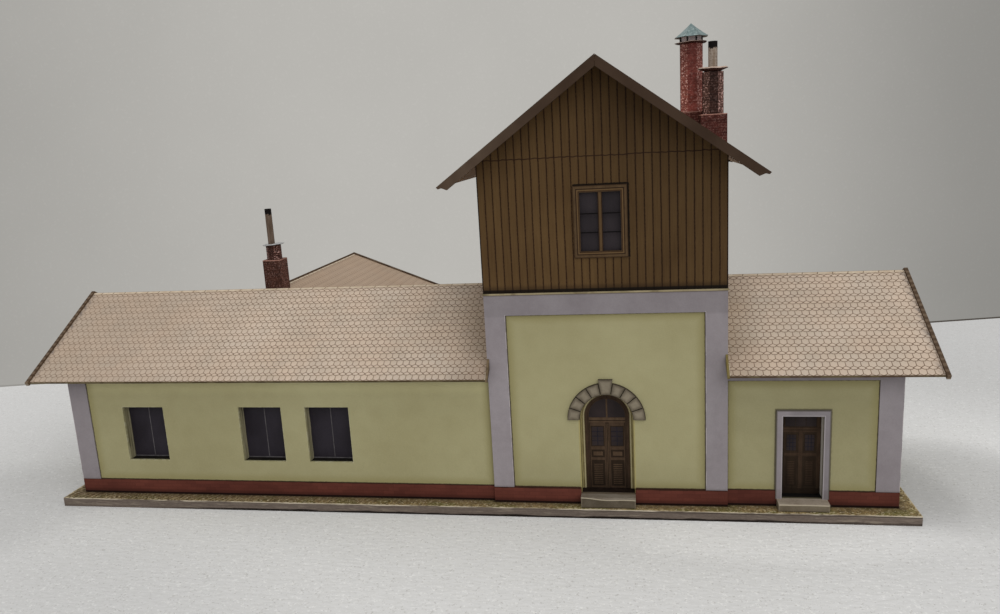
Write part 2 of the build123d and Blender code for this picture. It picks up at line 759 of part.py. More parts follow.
def tower_stack(x, y, side, block_top, shaft_width, shaft_top):
    """A block with its foot cut to the tower roof, and the shaft on it."""
    stack_block(x, y, side, storey_floor, block_top)
    along_y(gable_outline(x_tower, tower_run, tower_ridge_height, tower_slope, 0, 0),
            y_tower_front, y_tower_rear, mode=Mode.SUBTRACT)
    stack_shaft(x, y, shaft_width, block_top, shaft_top)


with BuildPart() as short_stack:
    tower_stack(x_short_stack, y_short_stack, short_stack_side, short_stack_top,
                short_shaft_width, short_shaft_top)

with BuildPart() as tall_stack:
    tower_stack(x_tall_stack, y_tall_stack, tall_stack_side, tall_stack_top,
                tall_shaft_width, tall_shaft_top)

with BuildPart() as short_stack_crown:
    with BuildSketch(Plane.XY.offset(short_shaft_top)):
        octagon_face(x_short_stack, y_short_stack, short_shaft_width)
    with BuildSketch(Plane.XY.offset(crown_top)):
        octagon_face(x_short_stack, y_short_stack, crown_width)
    loft()

with BuildPart() as tall_stack_collar:
    octagon(x_tall_stack, y_tall_stack, collar_width, tall_shaft_top, lantern_floor)

with BuildPart() as stack_pipes:
    tube(x_left_stack + left_pipe_shift, y_left_stack, left_pipe_diameter,
         left_plate_top, left_plate_top + left_pipe_length)
    tube(x_short_stack, y_short_stack, short_pipe_diameter, crown_top, crown_top + short_pipe_length)

# Lantern with a post on each corner, and the pointed cap of the tall chimney
post_ring = (lantern_width - post_size) / 2 / cos(pi / octagon_sides)
cap_taper = degrees(atan((cap_width - cap_tip_width) / 2 / cap_height))

with BuildPart() as lantern_drum:
    stack_shaft(x_tall_stack, y_tall_stack, lantern_width - post_size, lantern_floor, lantern_top)

with BuildPart() as lantern_posts:
    with Locations((x_tall_stack, y_tall_stack, lantern_floor + lantern_height / 2)):
        with PolarLocations(post_ring, octagon_sides, start_angle=180 / octagon_sides):
            Box(post_size, post_size, lantern_height)
    octagon(x_tall_stack, y_tall_stack, lantern_width - post_size, lantern_floor, lantern_top,
            mode=Mode.SUBTRACT)

with BuildPart() as tall_stack_cap:
    with BuildSketch(Plane.XY.offset(lantern_top)):
        octagon_face(x_tall_stack, y_tall_stack, cap_width)
    extrude(amount=cap_height, taper=cap_taper)

parts = {
    "base_board": base_board,
    "rear_base_board": rear_base_board,
    "wing_front_walls": wing_front_walls,
    "wing_rear_walls": wing_rear_walls,
    "wing_end_walls": wing_end_walls,
    "rear_wing_side_walls": rear_wing_side_walls,
    "rear_wing_gable_wall": rear_wing_gable_wall,
    "tower_front_wall": tower_front_wall,
    "tower_rear_wall": tower_rear_wall,
    "tower_side_walls": tower_side_walls,
    "tower_pilasters": tower_pilasters,
    "tower_bands": tower_bands,
    "tower_deck": tower_deck,
    "timber_front_wall": timber_front_wall,
    "timber_rear_wall": timber_rear_wall,
    "timber_side_walls": timber_side_walls,
    "loft_window_frames": loft_window_frames,
    "loft_window_panes": loft_window_panes,
    "wing_front_slopes": wing_front_slopes,
    "wing_rear_slopes": wing_rear_slopes,
    "rear_wing_left_slope": rear_wing_left_slope,
    "rear_wing_right_slope": rear_wing_right_slope,
    "tower_left_slope": tower_left_slope,
    "tower_right_slope": tower_right_slope,
    "tower_bargeboards": tower_bargeboards,
    "wing_verge_boards": wing_verge_boards,
    "eave_end_boards": eave_end_boards,
    "wing_plinths": wing_plinths,
    "tower_plinths": tower_plinths,
    "rear_wing_plinths": rear_wing_plinths,
    "corner_pilasters": corner_pilasters,
    "wing_bands": wing_bands,
    "arch_stones": arch_stones,
    "entrance_reveal": entrance_reveal,
    "entrance_door": entrance_door,
    "side_door_reveal": side_door_reveal,
    "side_door": side_door,
    "window_reveals": window_reveals,
    "window_panes": window_panes,
    "side_door_surround": side_door_surround,
    "door_steps": door_steps,
    "left_stack": left_stack,
    "left_stack_plate": left_stack_plate,
    "short_stack": short_stack,
    "short_stack_crown": short_stack_crown,
    "tall_stack": tall_stack,
    "tall_stack_collar": tall_stack_collar,
    "stack_pipes": stack_pipes,
    "lantern_drum": lantern_drum,
    "lantern_posts": lantern_posts,
    "tall_stack_cap": tall_stack_cap,
}

os.makedirs("parts", exist_ok=True)
for name, builder in parts.items():
    builder.part.label = name
    export_step(builder.part, "parts/" + name + ".step")
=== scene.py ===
"""Looks of the card model of a railway station building, in millimetres until a mesh is made."""
import math
import random
from functools import partialmethod, reduce

import bmesh
import bpy
from mathutils import Color, Matrix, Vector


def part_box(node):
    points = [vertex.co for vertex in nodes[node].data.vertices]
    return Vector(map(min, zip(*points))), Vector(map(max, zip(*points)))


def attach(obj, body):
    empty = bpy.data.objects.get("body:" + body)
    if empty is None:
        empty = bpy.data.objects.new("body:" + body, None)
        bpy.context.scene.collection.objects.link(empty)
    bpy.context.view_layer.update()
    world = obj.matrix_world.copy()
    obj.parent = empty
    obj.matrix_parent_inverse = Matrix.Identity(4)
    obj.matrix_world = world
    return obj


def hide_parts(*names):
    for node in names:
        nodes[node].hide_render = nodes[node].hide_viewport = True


MM = 0.001
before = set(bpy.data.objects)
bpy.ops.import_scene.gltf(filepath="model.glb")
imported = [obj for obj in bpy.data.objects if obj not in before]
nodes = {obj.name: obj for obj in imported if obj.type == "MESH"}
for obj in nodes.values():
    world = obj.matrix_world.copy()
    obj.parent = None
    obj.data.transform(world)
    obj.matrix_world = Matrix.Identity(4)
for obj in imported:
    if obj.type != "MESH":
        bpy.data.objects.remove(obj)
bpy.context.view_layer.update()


def limits(node):
    """x, y and z limits of a CAD node in millimetres."""
    low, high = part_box(node)
    return [(low[i] / MM, high[i] / MM) for i in range(3)]


def centre(node):
    """Centre of a node in plan."""
    (x0, x1), (y0, y1), _ = limits(node)
    return (x0 + x1) / 2, (y0 + y1) / 2


# Places read from the frame
x_left, x_right = limits("wing_front_walls")[0]
y_wing = limits("wing_front_walls")[1][0]
y_wing_back = limits("wing_rear_walls")[1][1]
(x_tl, x_tr), _, (z_base, z_masonry) = limits("tower_front_wall")
x_mid = (x_tl + x_tr) / 2
y_tower, y_tower_back = limits("tower_pilasters")[1]
z_plinth = limits("tower_plinths")[2][1]
z_storey = limits("timber_front_wall")[2][0]
z_tower_ridge = limits("tower_left_slope")[2][1]
y_ridge = (y_wing + y_wing_back) / 2
(x_rear_left, x_rear_right), (_, y_gable) = limits("rear_wing_gable_wall")[:2]
x_rear_ridge = (x_rear_left + x_rear_right) / 2
y_rear_verge = limits("wing_verge_boards")[1][1]
x_verge_left, x_verge_right = limits("wing_verge_boards")[0]
z_band = limits("wing_bands")[2][0]
(x_surround_left, x_surround_right), _, (_, z_surround) = limits("side_door_surround")
(x_loft_left, x_loft_right), _, (z_loft_sill, z_loft_head) = limits("loft_window_frames")
z_step = limits("door_steps")[2][1]

# Sizes that the frame's boxes don't give
z_spring = 36.4
arch_radius = 9.75
arch_outer = 14.1
key_half_angle = 10.58
frame_width = 7.6
pilaster_width = 7.5
recess = 4.2
front_windows = [x_left + offset for offset in (31.2, 81.8, 109.7)]
rear_windows = [x_rear_ridge + offset for offset in (-34, 0, 34)]
tower_rear_windows = [x_mid + offset for offset in (-17, 17)]
right_rear_window = (x_tr + x_right) / 2
window_half, window_sill, window_head = 8.95, 18.15, 40.85
loft_border = 2.3
loft_transoms = (0.32, 0.64)
wing_pitch = 30
tower_pitch = 36.1


# Node arithmetic
class Tree:
    """A node tree that nodes are added to."""

    def __init__(self, tree):
        self.tree = tree

    def link(self, value, socket):
        """Feed a socket from another node or with a constant."""
        value = getattr(value, "socket", value)
        if isinstance(value, bpy.types.NodeSocket):
            self.tree.links.new(value, socket)
        elif value is not None:
            socket.default_value = value

    def node(self, kind, *values, **settings):
        """Add a node and return its outputs. Values feed its first inputs, None leaves one alone."""
        node = self.tree.nodes.new("ShaderNode" + kind)
        for setting, value in settings.items():
            setattr(node, setting, value)
        for value, socket in zip(values, node.inputs):
            self.link(value, socket)
        return node.outputs


class Val:
    """A number in a node tree; arithmetic on it adds Math nodes."""

    def __init__(self, tree, socket):
        self.tree = tree
        self.socket = socket

    def op(self, kind, *others):
        return Val(self.tree, self.tree.node("Math", self, *others, operation=kind)[0])

    def __neg__(self):
        return self * -1

    def flip(self):
        return -self + 1

    def pick(self, no, yes):
        """The first number where this is 0, the second where it is 1."""
        return no * self.flip() + yes * self

    def step(self, a, b, low=0, high=1):
        """A smooth ramp from low at a to high at b."""
        ramp = self.tree.node("MapRange", self, a, b, low, high, interpolation_type="SMOOTHSTEP")
        return Val(self.tree, ramp[0])

    def line(self, half, soft=0.1):
        """1 where the number is near zero, for a drawn line of twice this half width."""
        return self.mag().step(half + soft, half)

    def off(self):
        """Distance from the middle of its whole-number cell."""
        return (self.frac() - 0.5).mag()


for method, kind in (("__add__", "ADD"), ("__sub__", "SUBTRACT"), ("__mul__", "MULTIPLY"),
                     ("__truediv__", "DIVIDE"), ("mag", "ABSOLUTE"), ("floor", "FLOOR"), ("frac", "FRACT"),
                     ("sin", "SINE"), ("low", "MINIMUM"), ("high", "MAXIMUM"), ("over", "GREATER_THAN")):
    setattr(Val, method, partialmethod(Val.op, kind))


class Coat(Val):
    """A colour that is built up in layers."""

    def coat(self, color, share):
        """Cover it with another colour by this share."""
        self.socket = self.tree.mix(self, color, share).socket

    def dim(self, factor):
        """Make it lighter or darker."""
        self.socket = self.tree.scale(self, factor)


def linear(c):
    """An sRGB colour of 0 to 255 as linear light."""
    return (*Color([v / 255 for v in c]).from_srgb_to_scene_linear(), 1)


class Print(Tree):
    """One material: coordinates in millimetres, noises, colour mixing and the shader."""

    def __init__(self, name, rough=0.75, specular=0.1):
        self.mat = bpy.data.materials.new(name)
        self.mat.use_nodes = True
        super().__init__(self.mat.node_tree)
        self.shader = self.tree.nodes["Principled BSDF"].inputs
        self.shader["Roughness"].default_value = rough
        self.shader["Specular IOR Level"].default_value = specular
        self.place = self.scale(self.node("TexCoord")["Object"], 1 / MM)
        self.x, self.y, self.z = self.split(self.place)
        geometry = self.node("NewGeometry")
        self.nx, self.ny, self.nz = self.split(geometry["Normal"])
        self.behind = geometry["Backfacing"]

    def split(self, vector):
        return [Val(self, part) for part in self.node("SeparateXYZ", vector)]

    def scale(self, vector, factor):
        return self.node("VectorMath", vector, None, None, factor, operation="SCALE")[0]

    def noise(self, size, detail, stretch=(1, 1, 1), shift=0, rough=0.5):
        """A noise with features of about size millimetres, between 0 and 1."""
        place = self.node("VectorMath", self.place, tuple(1 / (size * s) for s in stretch),
                          (shift, shift * 0.7, shift * -0.4), operation="MULTIPLY_ADD")[0]
        return Val(self, self.node("TexNoise", place, None, 1, detail, rough)[0]).step(0.25, 0.75)

    def specks(self, size, share, shift):
        """Sparse spots of about size millimetres; share is how much of the surface they take."""
        return self.noise(size, 2, shift=shift, rough=0.6).step(1 - share, 1 - share * 0.4)

    def rand(self, a, b, c=0):
        """An even random number for each whole-number cell."""
        return Val(self, self.node("TexWhiteNoise", self.node("CombineXYZ", a, b, c)[0])[0])

    def mix(self, a, b, share):
        """Colour a turning into colour b, each a coat or sRGB of 0 to 255."""
        a, b = (linear(c) if isinstance(c, tuple) else c for c in (a, b))
        return Coat(self, self.node("Mix", share, *[None] * 5, a, b, data_type="RGBA")[2])

    def plain(self, color):
        """One even colour."""
        return self.mix(color, color, 0)

    def paper(self):
        """The slight unevenness of printed card."""
        return self.noise(0.5, 4) * 0.35 + self.noise(9, 2, shift=3.1) * 0.65

    def done(self, color, bump=None, height=0.05):
        """Set the colour and a bump of this height in millimetres, that of paper unless given."""
        self.link(color, self.shader["Base Color"])
        node = self.tree.nodes.new("ShaderNodeBump")
        node.inputs["Distance"].default_value = height * MM
        self.link(bump or self.paper(), node.inputs["Height"])
        self.link(node.outputs[0], self.shader["Normal"])
        return self.mat


def hypot(a, b):
    """Length of the two together."""
    return (a * a + b * b).op("SQRT")


def inside(u, v, u0, u1, v0, v1):
    """How deep a point lies inside a rectangle; below zero outside."""
    du = -(u - (u0 + u1) / 2).mag() + (u1 - u0) / 2
    dv = -(v - (v0 + v1) / 2).mag() + (v1 - v0) / 2
    return du.low(dv)


def deepest(u, v, boxes):
    """The same for several rectangles together."""
    return reduce(Val.high, [inside(u, v, *box) for box in boxes])


def near_any(value, places):
    """Distance of a number from the nearest of some places."""
    return reduce(Val.low, [(value - place).mag() for place in places])


def dress(names, material):
    """Give CAD nodes, named in one string, a material."""
    for name in names.split():
        materials = nodes[name].data.materials
        materials.clear()
        materials.append(material)


def dressing(names):
    """Decorate a function that paints a print, to dress these nodes in it."""
    def make(paint):
        dress(names, paint(Print(paint.__name__)))
        return paint
    return make


# Printed plaster
def plaster(node, name, fields, windows=(), outline=None, axis="x", tone=None, arch=False):
    """Yellow-green plaster. fields are panels with darkened borders, from the plinth up to a height,
    windows the places of openings with a pale cut edge. outline is a drawn rectangle, tone gives a
    brightness that varies over the wall, painted light on the wings, and arch darkens the wall behind
    the arch stones and paints the upward faces near-black as painted shade."""
    p = Print(name)
    u = p.x if axis == "x" else p.y
    cloud = p.noise(38, 3, (1, 1, 1.3))
    mottle = p.noise(6, 4, shift=2)
    grain = p.noise(0.42, 2, shift=5)
    ragged = p.noise(1.2, 3, shift=7) * 0.14 - 0.07
    color = p.mix((142, 136, 102), (152, 147, 113), cloud * 0.65 + mottle * 0.35)
    color.dim(grain * 0.05 + 0.975)
    # On the wings tone is painted light: paler under the eaves, darker on the right wing.
    if tone:
        color.dim(tone(p))
    border = deepest(u, p.z, [(start, end, z_plinth, top) for start, end, top in fields])
    color.coat((128, 120, 77), border.step(4.2, 0.3) * 0.55)
    color.coat((58, 50, 36), (border + ragged).step(0.38, 0.16) * 0.9)
    if windows:
        out = -deepest(u, p.z, [(x - window_half, x + window_half, window_sill, window_head)
                                for x in windows]) + ragged
        wear_and_shadow_noise = p.noise(1.8, 3, shift=9).step(0.35, 0.7)
        color.coat((172, 168, 142), out.step(0.26, 0.1) * wear_and_shadow_noise * 0.6)
    if outline:
        out = -inside(u, p.z, *outline)
        color.coat((84, 78, 62), (out + ragged).step(0.62, 0.4) * 0.8)
    if arch:
        dx, dz = p.x - x_mid, (p.z - z_spring).high(0)
        radius = hypot(dx, dz)
        joint = radius.step(arch_outer + 0.2, arch_outer + 0.05) * p.z.step(z_spring - 0.3, z_spring - 0.1)
        color.coat((62, 54, 42), joint * 0.9)
        edge = (radius - arch_radius).step(0.7, 0.2) * p.z.step(z_spring, z_spring - 0.2)
        color.coat((150, 139, 90), edge * 0.8)
        # Painted shade: the upward faces near-black.
        color.coat((24, 15, 11), p.nz.step(0.4, 0.6))
    dress(node, p.done(color))


def wing_painted_light(p):
    """Painted light and shade: paler under the eaves, against the shade that they cast, and a little darker
    on the right wing.
    """
    left = p.x.step(x_left, x_tl, 0.98, 1.05) + p.z.step(39, 47) * 0.12 + p.z.step(45, 50) * 0.42
    right = p.z.step(34, 28) * 0.05 + p.z.step(43, 49) * 0.16 + 0.86
    return p.x.over(x_mid).pick(left, right)


def tower_tone(p):
    """Palest in the middle of the tall panel."""
    return p.z.step(z_plinth, 26) * 0.09 + p.z.step(z_masonry - 6, 50) * 0.04 + 0.93


no_top = 95
inner_left, inner_right = x_left + pilaster_width, x_right - pilaster_width
tower_field = (x_tl + frame_width, x_tr - frame_width, z_masonry - frame_width)
plaster("wing_front_walls", "plaster_wings", [(inner_left, x_tl, no_top), (x_tr, inner_right, z_band)],
        front_windows, (x_surround_left, x_surround_right, z_base, z_surround), tone=wing_painted_light)
plaster("wing_rear_walls", "plaster_wings_rear",
        [(inner_left, x_rear_left, z_band), (x_rear_right, x_tl, z_band), (x_tr, inner_right, z_band)],
        [right_rear_window])
plaster("wing_end_walls", "plaster_ends",
        [(y_wing + pilaster_width, y_wing_back - pilaster_width, no_top)], axis="y")
plaster("rear_wing_side_walls", "plaster_rear_sides",
        [(y_wing_back, y_gable - pilaster_width, no_top)], axis="y")
plaster("rear_wing_gable_wall", "plaster_rear_gable",
        [(x_rear_left + pilaster_width, x_rear_right - pilaster_width, no_top)], rear_windows)
plaster("tower_front_wall", "plaster_tower", [tower_field], tone=tower_tone, arch=True)
plaster("tower_rear_wall", "plaster_tower_rear", [tower_field], tower_rear_windows)
plaster("tower_side_walls", "plaster_tower_sides", [(y_tower, y_tower_back, z_masonry)], axis="y")


@dressing("entrance_reveal")
def entrance_reveal_print(p):
    """Plaster on the reveal's sides, shadow-brown on its floor."""
    wall = p.mix((108, 98, 64), (132, 122, 84), p.noise(3, 4, (1, 1, 4)))
    floor = p.mix((18, 11, 8), (34, 24, 18), p.noise(2, 3))
    wall.coat(floor, p.z.step(z_step + 0.5, z_step + 0.1))
    return p.done(wall, height=0.04)


@dressing("tower_deck")
def deck_print(p):
    """The thin ledge between the storeys, darker towards its left end."""
    cloud = p.noise(4, 3, (2, 2, 1))
    color = p.mix((118, 107, 80), (148, 136, 108), cloud)
    color.coat((86, 74, 54), p.noise(9, 3, shift=4).step(0.55, 0.8) * 0.5)
    color.coat((84, 76, 56), p.x.step(x_tl + 3, x_tl) * 0.7)
    return p.done(color)


@dressing("window_reveals")
def window_reveal_print(p):
    """Window reveals: streaked plaster at the sides, near-black painted shade on the sill."""
    streak = p.noise(0.8, 3, (1, 1, 14), 2)
    wall = p.mix((110, 104, 77), (148, 141, 114), streak)
    wall.coat((50, 45, 34), p.noise(0.5, 2, (1, 1, 20), 5).step(0.66, 0.9) * 0.75)
    wall.coat((172, 166, 140), (p.y - y_wing - recess * 0.86).line(0.2) * 0.6)
    wall.coat((58, 52, 36), (p.y - y_wing).line(0.75, 0.2) * 0.6)
    sill = p.mix((18, 16, 14), (30, 27, 23), p.noise(3, 3))
    return p.done(p.mix(wall, sill, p.nz.step(0.4, 0.6)), height=0.04)


# Lilac-grey pilasters, bands and the side door's surround
def lilac(name, folds=(), fold_top=200, gain=1, extra=None):
    """Lilac-grey print; folds are x places with a thin worn line below fold_top."""
    p = Print(name, rough=0.65, specular=0.2)
    cloud = p.noise(16, 4, (1, 1, 1.6))
    mottle = p.noise(3, 3, shift=6)
    grain = p.noise(0.5, 2, shift=4)
    color = p.mix((123, 116, 119), (137, 131, 134), cloud * 0.7 + mottle * 0.3)
    color.dim((grain * 0.05 + 0.975) * gain)
    color.coat((96, 88, 88), p.z.step(z_plinth + 1, z_plinth) * 0.4)
    if folds:
        wear_and_shadow_noise = p.noise(2.2, 3, (1, 1, 2), 8).step(0.3, 0.65) * p.z.step(fold_top + 0.5, fold_top)
        wear_and_shadow_noise *= near_any(p.x, folds).step(0.3, 0.1) * p.ny.mag().step(0.5, 0.7)
        color.coat((178, 171, 170), wear_and_shadow_noise * 0.55)
    if extra:
        extra(p, color)
    return p.done(color)


def tower_frame_tone(p, color):
    """Brighter on the left pilaster, darker on the band under the deck."""
    left = p.x.step(x_tl + frame_width + 1, x_tl + frame_width) * p.z.step(80, 55)
    band = p.z.step(z_masonry - frame_width - 1, z_masonry - frame_width)
    color.dim(left * 0.13 - band * 0.12 + 1)
    color.coat((84, 70, 54), p.z.step(z_masonry - 0.5, z_masonry - 0.15) * 0.6)


dress("tower_pilasters tower_bands",
      lilac("lilac_tower", [x_tl + frame_width, x_tr - frame_width],
            fold_top=z_masonry - frame_width, extra=tower_frame_tone))
dress("corner_pilasters wing_bands", lilac("lilac_wings", [x_left - 0.4, x_right + 0.4]))


def surround_lines(p, color):
    """Dark outer edges and pale inner edges of the side door's surround."""
    depth = inside(p.x, p.z, x_surround_left, x_surround_right, z_base - 9, z_surround)
    color.dim(p.x.step(x_surround_left + 6, x_surround_left + 3, 1, 1.3))
    color.coat((84, 79, 72), depth.step(0.42, 0.2) * 0.8)
    color.coat((160, 154, 156), depth.step(1.7, 1.95) * 0.6)


def jamb_lines(p, color):
    """The deep right jamb: painted pale as painted light against the shade of its recess, with a dark front
    edge, above a near-black painted shade at its foot.
    """
    color.coat((190, 184, 174), 0.85)
    streak = (p.y - y_wing + p.noise(5, 2) * 0.6).step(1.6, 0.9)
    color.coat((84, 78, 72), streak * 0.85)
    color.coat((16, 14, 13), p.z.step(z_plinth - 2.6, z_plinth - 3))


dress("side_door_surround", lilac("lilac_surround", gain=0.8, extra=surround_lines))
dress("side_door_reveal", lilac("lilac_jamb", gain=0.95, extra=jamb_lines))


@dressing("wing_plinths tower_plinths rear_wing_plinths")
def plinth_print(p):
    """Red-brown plinth with faint courses, a dark line along its top, darker towards its foot, and a
    near-black painted shade along the foot.
    """
    course = (p.z - z_base) / 1.5
    row = course.floor()
    joint = course.off().step(0.40, 0.5)
    brick = (p.x + p.y) / 4.2 + row * 0.5
    upright = brick.off().step(0.44, 0.5)
    tone = p.rand(brick.floor(), row)
    cloud = p.noise(12, 4, (2.5, 2.5, 1))
    color = p.mix((74, 38, 31), (100, 54, 44), cloud * 0.7 + tone * 0.3)
    color.dim(p.x.step(x_tr - 20, x_tr + 10, 1, 0.93))
    color.coat((54, 26, 21), joint.high(upright * 0.6) * 0.3)
    color.coat((44, 22, 18), p.z.step(z_base + 2.6, z_base + 0.9) * 0.5)
    # Painted shade where the plinth meets the board.
    color.coat((16, 8, 6), p.z.step(z_base + 0.95, z_base + 0.6) * 0.9)
    ragged = p.noise(2, 3, (2, 2, 1), 4) * 0.3 - 0.15
    ink = p.noise(40, 2, shift=7) * 0.35 + 0.5
    color.coat((40, 26, 18), (p.z + ragged).step(z_plinth - 0.3, z_plinth - 0.05) * ink)
    return p.done(color)


# Boarded storey
board_pitch = 2.774
seam_height = 131.8


def boards(name, axis, outline=False):
    """Upright boards with dark dotted joints, a horizontal seam and a dark foot."""
    p = Print(name)
    u = p.x if axis == "x" else p.y
    start, end = (x_tl, x_tr) if axis == "x" else (y_tower, y_tower_back)
    cell = (u - start) / board_pitch + p.noise(30, 2, shift=1) * 0.05
    index = cell.floor()
    ragged = p.noise(0.5, 3, (1, 1, 1.4), 6) * 0.06
    joint = (cell.off() + ragged).step(0.44, 0.488)
    tone = p.rand(index, 3)
    grain = p.noise(0.5, 3, (1, 1, 16), 2)
    cloud = p.noise(22, 4)
    color = p.mix((70, 51, 29), (90, 69, 42), tone * 0.3 + grain * 0.3 + cloud * 0.4)
    color.coat((60, 42, 22), cell.off().step(0.25, 0.45) * 0.35)
    color.coat((36, 19, 9), joint * 0.95)
    wave = (u * 2.2).sin() * 0.07 + p.noise(4, 2, shift=8) * 0.3 - 0.15
    color.coat((40, 22, 12), (p.z - seam_height + wave).line(0.14) * 0.9)
    foot = p.z - z_storey
    color.coat((36, 24, 13), foot.step(3.4, 1.4) * 0.55)
    color.coat((12, 7, 4), (foot + ragged * 2).step(1.5, 1.1) * 0.9)
    ends = near_any(u, (start, end))
    color.coat((24, 14, 8), ends.step(0.55, 0.25) * 0.85)
    if outline:
        out = -inside(u, p.z, x_loft_left + 0.3, x_loft_right + 0.4, z_loft_sill + 0.2, z_loft_head + 0.4)
        color.coat((14, 8, 5), (out - ragged * 3).step(0.25, 0) * 0.92)
    color.dim(p.z.step(z_storey, z_tower_ridge, 1.04, 0.84))
    if outline:
        color.dim(p.x.step(x_mid - 12, x_mid + 10, 1, 0.82))
    return p.done(color, p.paper() * 0.7 + joint.flip() * 0.3, 0.07)


dress("timber_front_wall timber_rear_wall", boards("boards_gable", "x", True))
dress("timber_side_walls", boards("boards_side", "y"))


@dressing("loft_window_frames")
def moulding_print(p):
    """Gable window frame: printed mouldings that follow the rectangle of the panes."""
    depth = inside(p.x, p.z, x_loft_left, x_loft_right, z_loft_sill, z_loft_head)
    cloud = p.noise(2.5, 3, shift=2)
    grain = p.noise(0.4, 3, (1, 1, 6), 5)
    color = p.mix((66, 50, 33), (84, 66, 45), cloud * 0.6 + grain * 0.4)
    color.coat((40, 25, 13), (depth - 0.12).line(0.12) * 0.7)
    color.coat((36, 22, 12), (depth - 1.2).line(0.12) * 0.9)
    color.coat((98, 76, 48), (depth - 1.62).line(0.13) * 0.6)
    color.coat((44, 27, 15), (depth - 2.02).line(0.1) * 0.85)
    bar = (p.x - x_mid).mag()
    within = depth.over(loft_border)
    color.coat((82, 63, 40), bar.step(0.5, 0.2) * within * 0.6)
    color.coat((38, 23, 13), (bar - 0.62).line(0.12) * within * 0.9)
    glass_height = z_loft_head - z_loft_sill - 2 * loft_border
    levels = [z_loft_sill + loft_border + share * glass_height for share in loft_transoms]
    thin = near_any(p.z, levels).step(0.3, 0.22)
    color.coat((10, 7, 7), thin * depth.over(loft_border + 0.02) * bar.over(0.76))
    return p.done(color)


def glass_print(name, dark, light):
    """Printed window panes: near-black with soft reflections drawn in."""
    p = Print(name, rough=0.6, specular=0.15)
    cloud = p.noise(9, 3, (1, 1, 1.8), 1.3)
    grain = p.noise(0.5, 2, shift=6)
    color = p.mix(dark, light, cloud)
    color.dim(grain * 0.14 + 0.93)
    return p.done(color, height=0.03)


dress("window_panes", glass_print("pane_print", (31, 27, 33), (42, 38, 45)))
dress("loft_window_panes", glass_print("loft_pane_print", (35, 30, 33), (46, 40, 43)))


# Printed tiles: rows of large clipped tiles with lens-shaped ones between them
tile_width = 2.5
tile_course = 3.75
tick_pitch = 5.57
first_row, first_column = 40.5, 400
ridge_strip = 1.27


